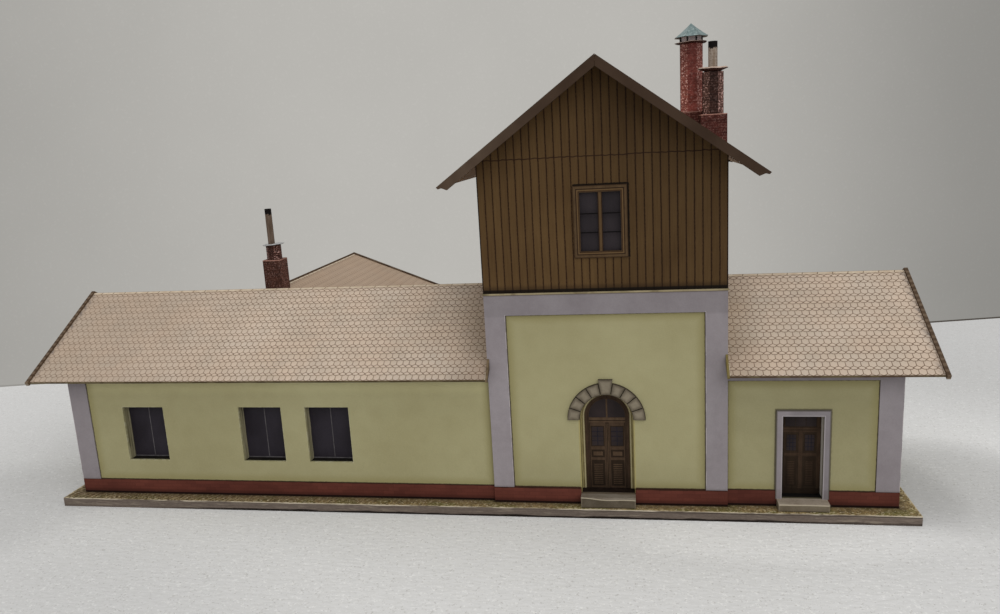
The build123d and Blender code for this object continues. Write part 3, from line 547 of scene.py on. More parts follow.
def tiles(name, ridge, pitch, run, across="y", shift=0, sharp=1, joints=(), verges=(),
          under=(86, 68, 52), warm=0):
    """across is the axis that the slope falls along and ridge the ridge's place on it. joints are
    places along the ridge where another wall meets the roof, darkened near them with painted shade,
    verges where the roof ends. under is the colour of the underside and warm a share of darker,
    redder print."""
    p = Print(name)
    along = p.x if across == "y" else p.y
    fall = (p.y if across == "y" else p.x) - ridge
    length = run / math.cos(math.radians(pitch))
    v = fall.mag() / math.cos(math.radians(pitch))
    wobble = p.noise(5, 2, shift=9)
    row = (v - (length - 1.7) + wobble * 0.12) / tile_course + first_row
    col = (along + shift + wobble * 0.14) / tile_width + first_column
    cu = (col.frac() - 0.5) * tile_width
    cv = (row.frac() - 0.5) * tile_course
    au, av = cu.mag(), cv.mag()
    bu, bv = -au + tile_width / 2, -av + tile_course / 2
    lens_high = bu * 0.52 + bv * 0.86 - 0.8
    lens_low = (bv - 0.74).high(bu * 0.6 + bv * 0.8 - 0.94)
    small = cv.over(0).pick(lens_low, lens_high)
    line = small.mag().step(0.2, 0.06)
    upright = bu.step(0.2, 0.06) * small.over(0) * cv.step(-1, 1, 0.8, 1)
    dot = au.step(0.4, 0.12) * small.over(0).flip() * 0.86
    line = line.high(upright).high(dot)
    tone = p.rand(col.floor(), row.floor(), small.over(0))
    stain = p.noise(30, 4, shift=shift + 2, rough=0.6)
    blush = p.noise(12, 3, shift=shift + 7)
    grain = p.noise(0.4, 2, shift=4)
    color = p.mix((178, 163, 147), (191, 177, 162), stain)
    color.coat((199, 175, 154), blush * 0.45)
    color.dim(tone * 0.07 + 0.93 + grain * 0.05 + small.over(0).flip() * 0.03)
    color.coat((150, 126, 103), p.x.step(x_left, x_tl - 60, 0.2, 0) + warm)
    color.dim(cv.step(-1.4, 1.4, 0.97, 1.03))
    color.dim(p.x.step(x_left + 10, x_left + 85, 0.86, 1))
    # Painted shade: darker within about 38 mm of the tower's left corner.
    color.dim((p.x - x_tl).mag().step(38, 4, 1, 0.84))
    ink = p.mix((84, 63, 45), (108, 87, 68), p.noise(7, 3, shift=12))
    faded = p.x.step(x_left, x_left + 90, 0.74, 1)
    color.coat(ink, line * faded * 0.94 * sharp)
    if joints:
        gap = near_any(along, joints)
        # Painted shade on the roof near the wall it meets.
        color.coat((104, 84, 66), gap.step(17, 0.5) * 0.34)
        paper = p.noise(0.9, 3, shift=14).step(0.3, 0.6)
        color.coat((206, 198, 184), gap.step(0.42, 0.25) * paper * 0.8)
    if verges:
        gap = near_any(along, verges)
        hatch = ((along * 1.2 + fall) / 0.55).sin().step(-0.2, 0.8)
        soft = gap.step(4.6, 1.4) * p.noise(4, 3, shift=21)
        color.coat((112, 104, 100), soft * (hatch * 0.5 + 0.3))
    tick = ((along + v * 0.35) / tick_pitch).frac() - 0.5
    strip = p.mix((196, 182, 162), (178, 160, 138), p.noise(3, 3, shift=15))
    strip.coat((84, 64, 46), tick.mag().step(0.46, 0.485) * 0.85)
    strip.coat((128, 106, 84), v.step(0.28, 0.08) * 0.7)
    color.coat(strip, v.step(ridge_strip, ridge_strip - 0.08))
    color.coat((104, 82, 60), (v - ridge_strip).line(0.08) * 0.75)
    color.coat((62, 47, 30), (v + wobble * 0.1).step(length - 0.3, length - 0.12) * 0.8)
    underside = p.plain(under)
    underside.dim(p.noise(6, 3, shift=17) * 0.3 + 0.85)
    color.coat(underside, p.nz.step(0.1, -0.3))
    edge = p.mix((66, 56, 34), (74, 58, 44), p.x.over(x_mid))
    edge.coat((104, 94, 66), p.noise(4, 3, (1.5, 1, 1), 19).step(0.4, 0.7) * 0.5)
    color.coat(edge, p.nz.mag().step(0.35, 0.2) * 0.95)
    return p.done(color, p.paper() * 0.75 + line.flip() * 0.25, 0.07)


def slope_sizes(node, axis):
    """Run and pitch in degrees of a roof slope, from its box."""
    across, (z0, z1) = limits(node)[axis], limits(node)[2]
    run = across[1] - across[0]
    card = 0.54
    return run, math.degrees(math.atan((z1 - z0 - card) / run))


wing_run = slope_sizes("wing_front_slopes", 1)[0]
rear_run, rear_pitch = slope_sizes("rear_wing_right_slope", 0)
tower_run = slope_sizes("tower_right_slope", 0)[0]
dress("wing_front_slopes wing_rear_slopes",
      tiles("tiles_wings", y_ridge, wing_pitch, wing_run, joints=(x_tl, x_tr),
            verges=(x_verge_left, x_verge_right)))
dress("rear_wing_left_slope rear_wing_right_slope",
      tiles("tiles_rear", x_rear_ridge, rear_pitch, rear_run, "x", shift=1.7, sharp=0.5, warm=0.62))
# The tower roof's underside is given a pale colour as painted light against its shade.
dress("tower_left_slope tower_right_slope",
      tiles("tiles_tower", x_mid, tower_pitch, tower_run, "x", shift=3.1, under=(156, 125, 94)))


# Edge strips of the roofs
@dressing("wing_verge_boards")
def wing_verge_print(p):
    """Strips along the wing verges: hatched on top, dark inside, light outside, with raw toes."""
    z_toe = limits("wing_verge_boards")[2][0]
    cloud = p.noise(7, 4)
    hatch = ((p.y + p.z * 0.6 + p.noise(2, 2) * 0.7) / 0.5).sin().step(-0.4, 0.8)
    top = p.mix((66, 51, 38), (108, 92, 76), hatch * 0.55 + cloud * 0.3)
    face = p.mix((74, 57, 42), (98, 79, 61), cloud * 0.6 + hatch * 0.4)
    outer = p.mix((84, 72, 60), (132, 124, 114), p.noise(3, 3, shift=4))
    inward = p.x.over(0).flip() * 2 - 1
    color = p.mix(top, face, (p.nx * inward).step(0.5, 0.8))
    color.coat(outer, (p.nx * inward).step(-0.5, -0.8))
    toe = p.z.step(z_toe + 1.6, z_toe + 1)
    color.coat((150, 138, 122), toe * p.y.over(y_wing).flip() * p.ny.mag().step(0.3, 0.6) * 0.6)
    return p.done(color, p.paper() + hatch * 0.3, 0.06)


def mottled_print(name, dark, light, size=2):
    """A mottled printed colour with a fine grain."""
    p = Print(name)
    cloud = p.noise(size, 4)
    grain = p.noise(0.4, 2, shift=3)
    return p.done(p.mix(dark, light, cloud * 0.75 + grain * 0.25), p.paper() + cloud * 0.3)


@dressing("tower_bargeboards")
def bargeboard_print(p):
    """Grey-brown boards with long soft streaks, a paler top edge and a dark lower arris."""
    gap = (p.x - x_mid).mag()
    along = gap * 0.81 - p.z * 0.59
    streak = p.noise(11, 4, shift=3)
    fine = (along * 0.9).sin() * 0.5 + 0.5
    color = p.mix((70, 56, 45), (86, 72, 59), streak * 0.7 + fine * p.noise(5, 2, shift=5) * 0.3)
    shaded = p.x.step(x_tl - 6, x_mid - 6)
    color.coat(p.mix((49, 35, 25), (60, 45, 34), streak), shaded * 0.9)
    color.coat((94, 80, 66), p.nz.step(0.3, 0.6) * 0.7)
    color.coat((40, 30, 22), p.nz.step(-0.3, -0.6) * 0.7)
    reach = limits("tower_bargeboards")[0][1] - x_mid
    toe = gap.step(reach - 1.5, reach)
    color.coat((134, 120, 104), toe * p.ny.mag().flip() * 0.7)
    return p.done(color, height=0.06)


@dressing("eave_end_boards")
def end_board_print(p):
    """Short boards at the tower's corners: mottled brown at the left, olive at the right."""
    cloud = p.noise(1.6, 4, (1, 1, 2))
    left = p.mix((66, 54, 40), (112, 96, 74), cloud)
    right = p.mix((94, 82, 48), (120, 108, 66), cloud)
    return p.done(p.mix(left, right, p.x.over(x_mid)))


# Base board
def board_edge(p):
    """Distance inwards from the nearest outer edge of the L-shaped board."""
    (fx0, fx1), (fy0, fy1), _ = limits("base_board")
    (rx0, rx1), (_, ry1), _ = limits("rear_base_board")
    return deepest(p.x, p.y, [(fx0, fx1, fy0, fy1), (rx0, rx1, fy0, ry1)])


def wall_gap(p):
    """Distance outwards from the walls that stand on the board."""
    return -deepest(p.x, p.y, [(x_left, x_right, y_wing, y_wing_back), (x_tl, x_tr, y_tower, y_tower_back),
                                  (x_rear_left, x_rear_right, y_wing, y_gable)])


@dressing("base_board rear_base_board")
def board_print(p):
    """Greyboard edge with a pale torn paper line and painted shadow along its foot, and the printed ground on
    top, with painted shade along the foot of the walls.
    """
    size = p.noise(2.2, 5, shift=1, rough=0.65)
    patch = p.noise(9, 3, shift=3)
    fine = p.noise(0.7, 4, shift=5, rough=0.7)
    ground = p.mix((88, 74, 44), (164, 142, 98), size)
    ground.coat((104, 104, 52), patch.step(0.4, 0.75) * 0.6)
    ground.coat((50, 42, 24), fine.step(0.5, 0.85) * 0.65)
    ground.coat((204, 190, 152), p.noise(1.1, 3, shift=8).step(0.66, 0.9) * 0.6)
    lean = ((p.x - p.y * 0.52 + p.noise(2.4, 3, shift=6) * 1.9) / 0.4).sin() * 0.5 + 0.5
    where = p.x.step(x_tr, x_left)
    ground.coat((74, 57, 38), where * 0.55)
    ground.coat((44, 32, 20), lean.step(0.5, 0.1) * where * p.noise(1.8, 2, shift=2) * 0.75)
    ground.coat((182, 166, 132), lean.step(0.7, 1) * where * p.noise(1.2, 2, shift=9) * 0.8)
    ground.coat((212, 202, 178), p.specks(0.8, 0.2, 21) * 0.6)
    # Painted shade on the ground along the foot of the walls.
    ground.coat((84, 68, 52), wall_gap(p).step(5.5, 1) * 0.5)
    ground.coat((30, 21, 15), wall_gap(p).step(1.2, 0.6) * 0.6)
    layer = p.noise(1.1, 5, (14, 14, 0.5), 2, 0.7)
    chip = p.noise(0.5, 3, (2.5, 2.5, 1), 4)
    side = p.mix((84, 74, 67), (111, 100, 92), layer * 0.6 + chip * 0.4)
    side.coat((132, 122, 108), p.noise(0.7, 3, (9, 9, 1), 11).step(0.7, 0.95) * 0.5)
    ragged = p.noise(2.6, 4, (4, 4, 1), 6) * 0.34
    rim = (p.z + ragged).step(z_base - 0.18, z_base - 0.02)
    side.coat((186, 176, 158), rim * p.noise(6, 3, (2, 2, 1), 13).step(0.2, 0.6))
    ply = (p.z + ragged * 0.4 - z_base + 0.52).line(0.1, 0.14) * p.x.step(x_mid - 50, x_tr)
    side.coat((52, 45, 38), ply * 0.75)
    # Painted shadow under the edge where the real board lifts off the floor, and painted shade along its very
    # foot.
    gap_left = x_left + 25
    lifted = p.x.step(gap_left, gap_left + 50) * p.x.step(x_right, x_tr, 0.55, 1)
    wear_and_shadow_noise = p.noise(14, 3, shift=23) * 0.35
    side.coat((20, 15, 13), (p.z + ragged * 1.4 - wear_and_shadow_noise).step(1, 0.7) * (lifted * 0.9 + 0.06))
    side.coat((64, 56, 48), p.z.step(0.35, 0) * 0.7)
    side.dim(p.x.step(x_tr, x_right, 1, 1.2))
    flat = p.nz.step(0.4, 0.6)
    color = p.mix(side, ground, flat)
    torn = board_edge(p) + p.noise(1.4, 3, shift=16) * 0.8
    color.coat((202, 190, 162), flat * torn.step(0.95, 0.45) * 0.7)
    return p.done(color, fine * 0.5 + p.paper() * 0.5, 0.09)


# Stone
@dressing("arch_stones")
def arch_print(p):
    """Arch stones, lighter in the middle of each stone."""
    dx, dz = p.x - x_mid, p.z - z_spring
    radius = hypot(dx, dz)
    angle = dz.op("ARCTAN2", dx.mag()) * (180 / math.pi)
    stones_per_side = 4
    stone_angle = (90 - key_half_angle) / stones_per_side
    cell = angle / stone_angle
    spread = math.radians(stone_angle) * arch_radius
    ring = inside((cell.frac() - 0.5) * spread, radius, -spread / 2, spread / 2, arch_radius, arch_outer)
    is_key = angle.over(90 - key_half_angle)
    key_side = (angle - (90 - key_half_angle)) * (math.pi / 180) * radius
    key_depth = key_side.low(radius - arch_radius).low(-dz + arch_outer + 1.4)
    depth = is_key.pick(ring, key_depth)
    cloud = p.noise(1.8, 4)
    tone = p.rand(cell.floor() + dx.over(0) * 7, is_key)
    color = p.mix((80, 72, 60), (128, 119, 103), depth.step(0, 1.4) * 0.75 + cloud * 0.25)
    color.dim(tone * 0.16 + 0.92)
    color.coat((40, 33, 26), (depth + p.noise(0.6, 2) * 0.1).step(0.26, 0.1) * 0.72)
    return p.done(color, p.paper() + cloud * 0.4, 0.08)


@dressing("door_steps")
def step_print(p):
    """Doorsteps: pale treads with a slanting light stripe, darker fronts with outlined edges."""
    tower_half, side_width, side_drop = 10, 17.4, 1.3
    side_right = limits("door_steps")[0][1]
    cloud = p.noise(4, 4)
    fine = p.noise(0.6, 3, shift=3)
    stripe = ((p.x * 0.5 + p.y) / 2.2).sin() * 0.5 + 0.5
    is_side = p.x.over(x_tr)
    tread = p.mix((128, 116, 101), (156, 144, 130), cloud * 0.6 + fine * 0.4)
    tread.coat((172, 163, 148), stripe.step(0.6, 1) * 0.35)
    tread.dim(is_side * 0.38 + 0.58)
    tread.coat((70, 58, 42), p.y.step(y_tower - 1.2, y_tower - 0.2) * is_side.flip() * 0.7)
    front = p.mix((92, 82, 67), (114, 104, 89), cloud * 0.7 + fine * 0.3)
    front.dim(is_side * 0.3 + 0.62)
    top = is_side * -side_drop + z_step
    sag = p.x.step(x_mid - tower_half, x_mid, 0, 0.62) * is_side.flip()
    fold = p.z - top + 0.24 + sag + p.noise(6, 2) * 0.2
    front.coat(tread, fold.step(-0.05, 0.1))
    front.coat((176, 166, 146), fold.line(0.12, 0.14) * 0.75)
    front.coat((52, 46, 34), p.z.step(z_base + 0.5, z_base + 0.2) * 0.7)
    ends = near_any(p.x, (x_mid - tower_half, x_mid + tower_half, side_right - side_width, side_right))
    front.coat((132, 122, 104), ends.step(0.5, 0.2) * 0.35)
    color = p.mix(front, tread, p.nz.step(0.4, 0.6))
    return p.done(color, p.paper() + cloud * 0.3, 0.08)


# Brickwork of the chimneys
brick_course = 0.87
brick_length = 1.9
first_brick = 40


def bricks(stack, cover, height, width, shades, diagonal_shades, mortar, blocks, specks, side=0.84,
           fade=(1, 1)):
    """Small worn bricks on a chimney. Below its cover stands an octagonal shaft of this height and
    width, whose slanting faces are lighter and full of mortar specks, on a square block. side is
    the brightness of the faces to the left and right, fade that of the shaft at its top and foot;
    both are painted light and shade."""
    node = stack + "_stack"
    p = Print("bricks_" + stack)
    split = limits(node + "_" + cover)[2][0] - height
    cx, cy = centre(node)
    dx, dy = p.x - cx, p.y - cy
    turn = dy.op("ARCTAN2", dx)
    on_block = p.z.step(split + 0.02, split - 0.02)
    flat = dx * p.ny.mag().over(0.5) + dy * p.nx.mag().over(0.5)
    u = on_block.pick(turn * (width / 2), flat)
    row = (p.z + p.noise(1.6, 2, shift=5) * 0.16) / brick_course
    brick = (u + p.noise(1.2, 2, shift=8) * 0.3) / brick_length + row.floor() * 0.5 + first_brick
    joint_v = row.off().step(0.32, 0.45)
    joint_u = brick.off().step(0.42, 0.48)
    joint = joint_v.high(joint_u)
    tone = p.rand(brick.floor(), row.floor(), 2)
    cloud = p.noise(2.4, 4)
    wear_and_shadow_noise = p.noise(0.7, 3, shift=3, rough=0.6).step(0.3, 0.7)
    slanting = (p.nx * p.ny).mag().step(0.2, 0.4) * on_block.flip()
    sideways = p.nx.mag().step(0.8, 0.95)
    shade = tone * 0.5 + cloud * 0.5
    color = p.mix(p.mix(*shades, shade), p.mix(*diagonal_shades, shade), slanting)
    color.coat(p.mix(*blocks, shade), on_block)
    amount = (slanting * 0.6 + on_block * 0.12 + 0.14) * specks
    color.coat(mortar, joint * wear_and_shadow_noise * amount)
    pale = p.specks(0.55, 0.4, 11) * wear_and_shadow_noise * (slanting * 0.75 + 0.14) * specks
    color.coat((222, 182, 174), pale)
    dark = p.noise(0.9, 3, (1, 1, 0.5), 14).step(0.55, 0.75)
    color.dim(dark * -0.22 + 1)
    # Painted light and shade: the faces to the left and right made lighter or darker by side.
    color.dim(sideways * (side - 1) + 1)
    # Painted light and shade up the shaft by fade; on the tall shaft it lifts the foot out of the short
    # stack's shadow.
    shaft_top = limits(node)[2][1]
    faded = p.z.step(split, shaft_top, fade[1], fade[0])
    color.dim((faded - 1) * on_block.flip() + 1)
    top_edge = (p.z + p.noise(1, 2) * 0.2).step(split - 0.3, split - 0.1) * on_block
    color.coat((180, 136, 122), top_edge * 0.65)
    dress(node, p.done(color, p.paper() + joint.flip() * 0.35, 0.08))


bricks("left", "plate", 6.1, 5.9, ((40, 22, 18), (62, 37, 30)), ((46, 27, 23), (68, 42, 35)),
       (150, 108, 94), ((42, 24, 18), (66, 39, 30)), specks=0.9, side=1.8)
bricks("short", "crown", 14.1, 6.9, ((34, 21, 18), (54, 33, 27)), ((60, 40, 35), (92, 65, 57)),
       (168, 128, 116), ((50, 24, 20), (78, 38, 32)), specks=0.75, fade=(0.82, 1))
bricks("tall", "collar", 23.3, 7.7, ((84, 40, 35), (120, 61, 54)), ((94, 46, 41), (132, 78, 69)),
       (190, 138, 124), ((54, 26, 21), (84, 43, 37)), specks=0.85, fade=(0.72, 1.5))


def cover_print(name, dark, light, under):
    """Torn card covers of the chimneys, dark below, with fibres along the rim."""
    p = Print(name)
    cloud = p.noise(1.4, 4)
    fibre = p.noise(0.4, 3, (2, 2, 0.5), 6)
    color = p.mix(dark, light, cloud * 0.6 + fibre * 0.4)
    return p.done(p.mix(color, under, p.nz.step(-0.2, -0.7)), p.paper() + cloud * 0.4, 0.1)


collar_mat = cover_print("collar_print", (146, 126, 112), (196, 176, 162), (62, 38, 32))
plate_mat = cover_print("plate_print", (138, 138, 138), (182, 182, 182), (64, 54, 48))


def zinc_print():
    """Blue-green sheet metal in eight facets with darker seams and pale streaks down each."""
    p = Print("zinc_print", rough=0.5, specular=0.3)
    cx, cy = centre("tall_stack_cap")
    turn = (p.y - cy).op("ARCTAN2", p.x - cx) / (math.pi / 4) + 8.5
    tone = p.rand(turn.floor(), 5)
    seam = turn.off().step(0.44, 0.5)
    cloud = p.noise(1.6, 4)
    streak = p.noise(0.7, 3, (1, 1, 4), 4).step(0.6, 0.9)
    color = p.mix((88, 106, 107), (134, 150, 150), cloud * 0.4 + tone * 0.6)
    color.coat((176, 190, 188), streak * 0.35)
    color.coat((62, 78, 78), seam * 0.65)
    color.coat((96, 90, 82), p.nz.step(0, -0.3))
    return p.done(color, cloud, 0.06)


@dressing("stack_pipes")
def pipe_print(p):
    """Rolled paper pipes: whitish with a brown stain, or brown; both sooty at the top."""
    left = p.x.over(x_tl).flip()
    short_top = limits("stack_pipes")[2][1]
    left_length = 15.1
    left_top = limits("left_stack_plate")[2][1] + left_length
    cx = centre("short_stack")[0]
    streak = p.noise(0.9, 4, (1, 1, 7), 2)
    pale = p.mix((92, 78, 67), (162, 150, 138), streak * 0.5 + p.noise(0.6, 3, shift=3) * 0.5)
    stain = (p.x - cx - 0.2).mag().step(0.8, 0.1) * p.noise(2.5, 3, (1, 1, 3), 8)
    pale.coat((104, 84, 64), stain * 0.75)
    brown = p.mix((76, 62, 51), (106, 91, 79), streak)
    color = p.mix(pale, brown, left)
    ragged = p.noise(0.8, 3, shift=6) - 0.5
    soot_short = (p.z + ragged).step(short_top - 2.5, short_top - 2.1) * left.flip()
    soot_left = (p.z + ragged).step(left_top - 2.6, left_top - 2.2) * left
    return p.done(p.mix(color, (16, 12, 11), soot_short.high(soot_left)), height=0.06)


dress("lantern_drum", mottled_print("drum_print", (140, 128, 128), (184, 172, 172)))
dress("lantern_posts", mottled_print("post_print", (20, 16, 16), (36, 30, 29)))


# Pieces made here
def add_piece(name, bm, material, replaces=()):
    """Turn a bmesh in millimetres into a piece that rides on the model."""
    bmesh.ops.recalc_face_normals(bm, faces=bm.faces)
    for vert in bm.verts:
        vert.co *= MM
    mesh = bpy.data.meshes.new(name)
    bm.to_mesh(mesh)
    bm.free()
    mesh.materials.append(material)
    obj = bpy.data.objects.new(name, mesh)
    bpy.context.scene.collection.objects.link(obj)
    if replaces:
        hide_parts(*replaces)
    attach(obj, "root")


def add_box(bm, x0, x1, y0, y1, z0, z1):
    """A box between its limits."""
    made = bmesh.ops.create_cube(bm, size=1)
    for vert in made["verts"]:
        vert.co.x = x0 if vert.co.x < 0 else x1
        vert.co.y = y0 if vert.co.y < 0 else y1
        vert.co.z = z0 if vert.co.z < 0 else z1


def relief(name, material, y_face, outward, bars):
    """Thin bars on a panel: x limits, z limits and how far each stands out."""
    clearance = 0.002
    bm = bmesh.new()
    for x0, x1, z0, z1, depth in bars:
        add_box(bm, x0, x1, *sorted((y_face + outward * clearance, y_face + outward * depth)), z0, z1)
    add_piece(name, bm, material)


def skin(bm, rings):
    """Faces between each closed ring of points and the next."""
    for a, b in zip(rings, rings[1:]):
        for i in range(len(a)):
            j = (i + 1) % len(a)
            bm.faces.new((a[i], a[j], b[j], b[i]))


def arch_band(bm, y0, y1, r_in, r_out):
    """A flat band round the entrance, up from the step and over."""
    steps = 28
    angles = [math.pi * i / steps for i in range(steps + 1)]
    path = [(1, None), *((math.cos(a), math.sin(a)) for a in angles), (-1, None)]
    rings = [[bm.verts.new((x_mid + r * c, y, z_step if s is None else z_spring + r * s))
              for r, y in ((r_in, y0), (r_out, y0), (r_out, y1), (r_in, y1))] for c, s in path]
    skin(bm, rings)
    bm.faces.new(rings[0])
    bm.faces.new(rings[-1])


def wood_print(name, dark, light):
    """Painted wood of the doors: fine upright grain and soft patches, with painted shade darkening it towards
    the foot.
    """
    p = Print(name)
    grain = p.noise(1.6, 4, (1, 1, 3))
    color = p.mix(dark, light, grain * 0.75 + p.noise(0.4, 2, shift=3) * 0.25)
    color.dim(p.z.step(z_step, z_step + 12, 0.66, 1))
    return p.done(color)


wood = wood_print("door_wood", (59, 45, 33), (75, 59, 46))
wood_dark = wood_print("door_wood_dark", (36, 26, 18), (46, 35, 25))
wood_light = wood_print("door_wood_light", (66, 51, 38), (83, 66, 51))
wood_deep = wood_print("door_wood_deep", (40, 30, 22), (54, 42, 31))
wood_casing = wood_print("door_wood_casing", (50, 37, 27), (66, 51, 39))
dark_glass = glass_print("door_glass", (33, 26, 26), (47, 38, 38))
bar_mat = mottled_print("bar_print", (24, 22, 30), (36, 34, 44), size=1)
dress("entrance_door", wood)
dress("side_door", wood_deep)


class Leaves:
    """The relief of a pair of door leaves, gathered by material; x counts from their middle."""

    def __init__(self, x):
        self.x = x
        self.bars = {"panes": [], "recesses": [], "fields": [], "lattice": []}

    def bar(self, kind, x0, x1, z0, z1, depth):
        self.bars[kind].append((self.x + x0, self.x + x1, z0, z1, depth))

    def window(self, x0, x1, z0, z1, columns, rows):
        self.bar("recesses", x0 - 0.35, x1 + 0.35, z0 - 0.3, z1 + 0.3, 0.06)
        self.bar("panes", x0, x1, z0, z1, 0.1)
        for i in range(1, columns):
            x = x0 + (x1 - x0) * i / columns
            self.bar("lattice", x - 0.12, x + 0.12, z0, z1, 0.14)
        for i in range(1, rows):
            z = z0 + (z1 - z0) * i / rows
            self.bar("lattice", x0, x1, z - 0.1, z + 0.1, 0.15)

    def panel(self, x0, x1, z0, z1, border):
        self.bar("recesses", x0, x1, z0, z1, 0.06)
        self.bar("fields", x0 + border, x1 - border, z0 + border, z1 - border, 0.13)

    def louvre(self, x0, x1, z0, z1, pitch, border):
        self.bar("recesses", x0, x1, z0, z1, 0.06)
        for i in range(int((z1 - z0 - 2 * border) / pitch)):
            z = z0 + border + i * pitch
            self.bar("fields", x0 + border, x1 - border, z, z + pitch * 0.42, 0.13)

    def make(self, prefix, y_face, light):
        for kind, mat, slot in (("panes", dark_glass, "glazing"), ("recesses", wood_dark, "door"),
                                ("fields", light, "door"), ("lattice", bar_mat, "door")):
            relief(prefix + "_" + kind, mat, y_face, -1, self.bars[kind])


def border_print():
    """Ochre border round the entrance door with a thin dark and a thin light line."""
    p = Print("entrance_border_print")
    dx, dz = p.x - x_mid, (p.z - z_spring).high(0)
    radius = hypot(dx, dz)
    color = p.mix((132, 121, 80), (156, 145, 102), p.noise(2.2, 4, (1, 1, 3)))
    color.coat((60, 48, 30), (radius - 8.25).line(0.1) * 0.8)
    color.coat((178, 168, 138), (radius - 8.6).line(0.14, 0.14) * 0.6)
    color.coat((78, 67, 38), (radius - 9.1).line(0.14, 0.16) * (p.noise(2.5, 2, shift=5) * 0.4 + 0.4))
    return p.done(color)


def entrance_door():
    """Casing, ring, fanlight and two leaves on the printed panel behind the arch."""
    y = limits("entrance_door")[1][0]
    half, z_head, z_light = 6.7, 33.85, 35.7
    for name, mat, slot, stand, r_in, r_out in (
            ("entrance_door_border", border_print(), "wall", 0.4, 8.15, 9.74),
            ("entrance_door_casing", wood_casing, "door", 0.3, 7.15, 8.17),
            ("entrance_door_groove", wood_dark, "door", 0.18, 6.95, 7.2),
            ("entrance_door_ring", wood_casing, "door", 0.22, half, 7)):
        bm = bmesh.new()
        arch_band(bm, y - stand, y - 0.005, r_in, r_out)
        add_piece(name, bm, mat)
    relief("entrance_transom", wood_light, y, -1, [
        (x_mid - half, x_mid + half, 34.75, 35.8, 0.24), (x_mid - half, x_mid + half, z_head, 34.4, 0.2),
        (x_mid - 0.3, x_mid + 0.3, z_light, 43.1, 0.2)])
    bm = bmesh.new()
    angles = [a * math.pi / 24 for a in range(25)]
    fan = [(half * math.cos(a), z_spring + half * math.sin(a)) for a in angles]
    fan += [(-half, z_light), (half, z_light)]
    bm.faces.new([bm.verts.new((x_mid + dx, y - 0.06, z)) for dx, z in fan])
    add_piece("entrance_fanlight", bm, dark_glass)
    leaves = Leaves(x_mid)
    leaves.bar("recesses", -0.6, 0.6, z_step, z_head, 0.05)
    leaves.bar("recesses", -half, half, 34.4, 34.75, 0.1)
    leaves.bar("fields", -0.45, -0.14, z_step, 33.4, 0.12)
    leaves.bar("fields", 0.14, 0.45, z_step, 33.4, 0.12)
    for side in (-1, 1):
        x0, x1 = sorted((side * 1.45, side * 5.75))
        leaves.window(x0, x1, 24.7, 32.1, columns=2, rows=4)
        leaves.panel(x0 - 0.3, x1 + 0.3, 20, 23, border=0.7)
        leaves.louvre(x0 - 0.3, x1 + 0.3, 8.6, 18.9, pitch=0.76, border=0.8)
        leaves.bar("recesses", side * 6.55 - 0.12, side * 6.55 + 0.12, z_step, z_head, 0.1)
    leaves.make("entrance", y, wood_light)


def side_door():
    """Top lights, transom and two leaves of the side door, in deep shade at their foot."""
    leaves = Leaves(centre("side_door")[0])
    half, inner, foot, top = 6.99, 5.6, 8.6, 37.7
    for i in range(3):
        leaves.bar("panes", 3.6 * i - 5.3, 3.6 * i - 1.9, 32.4, 36.3, 0.08)
    for bar in ((-half, half, 6.6, foot, 0.2), (-half, half, 30.9, 31.2, 0.1),
                (-half, -inner, foot, top, 0.12)):
        leaves.bar("recesses", *bar)
    for bar in ((inner, half, foot, top, 0.12), (-half, half, 31.2, 32, 0.2), (-half, half, 30.3, 30.9, 0.16),
                (-0.7, 0.7, foot, 30.3, 0.18), (-inner, inner, 21.2, 22.3, 0.14)):
        leaves.bar("fields", *bar)
    for side in (-1, 1):
        x0, x1 = sorted((side * 1.55, side * 4.75))
        leaves.window(x0, x1, 23.2, 29.2, columns=3, rows=4)
        leaves.louvre(x0 - 0.3, x1 + 0.3, 9.4, 20.6, pitch=0.66, border=0.7)
    leaves.make("side_door", limits("side_door")[1][0], wood_casing)


entrance_door()
side_door()


def pane_lines(name, places, y_face, outward):
    """A thin pale mullion and sill line on each ground floor pane."""
    items = []
    for x in places:
        items += [(x - 0.17, x + 0.17, window_sill + 0.6, window_head, 0.1),
                  (x - window_half, x + window_half, window_sill + 0.05, window_sill + 0.45, 0.2)]
    relief(name, pale_line, y_face, outward, items)


pale_line = mottled_print("pane_line_print", (62, 59, 61), (92, 89, 91))
pane_lines("front_window_lines", front_windows, y_wing + recess, -1)
pane_lines("rear_gable_window_lines", rear_windows, y_gable - recess, 1)
pane_lines("right_wing_rear_window_lines", [right_rear_window], y_wing_back - recess, 1)
pane_lines("tower_rear_window_lines", tower_rear_windows, limits("tower_rear_wall")[1][1] - recess, 1)


# The strip of card along the rear wing's ridge
z_rear_ridge = limits("rear_wing_right_slope")[2][1]
strip_bm = bmesh.new()
add_box(strip_bm, x_rear_ridge - 0.3, x_rear_ridge + 0.25, y_ridge + 7.6, y_rear_verge - 1.3,
        z_rear_ridge - 0.3, z_rear_ridge + 0.6)
ridge_mat = mottled_print("ridge_strip_print", (66, 49, 35), (92, 72, 54), size=5)
add_piece("rear_ridge_strip", strip_bm, ridge_mat)


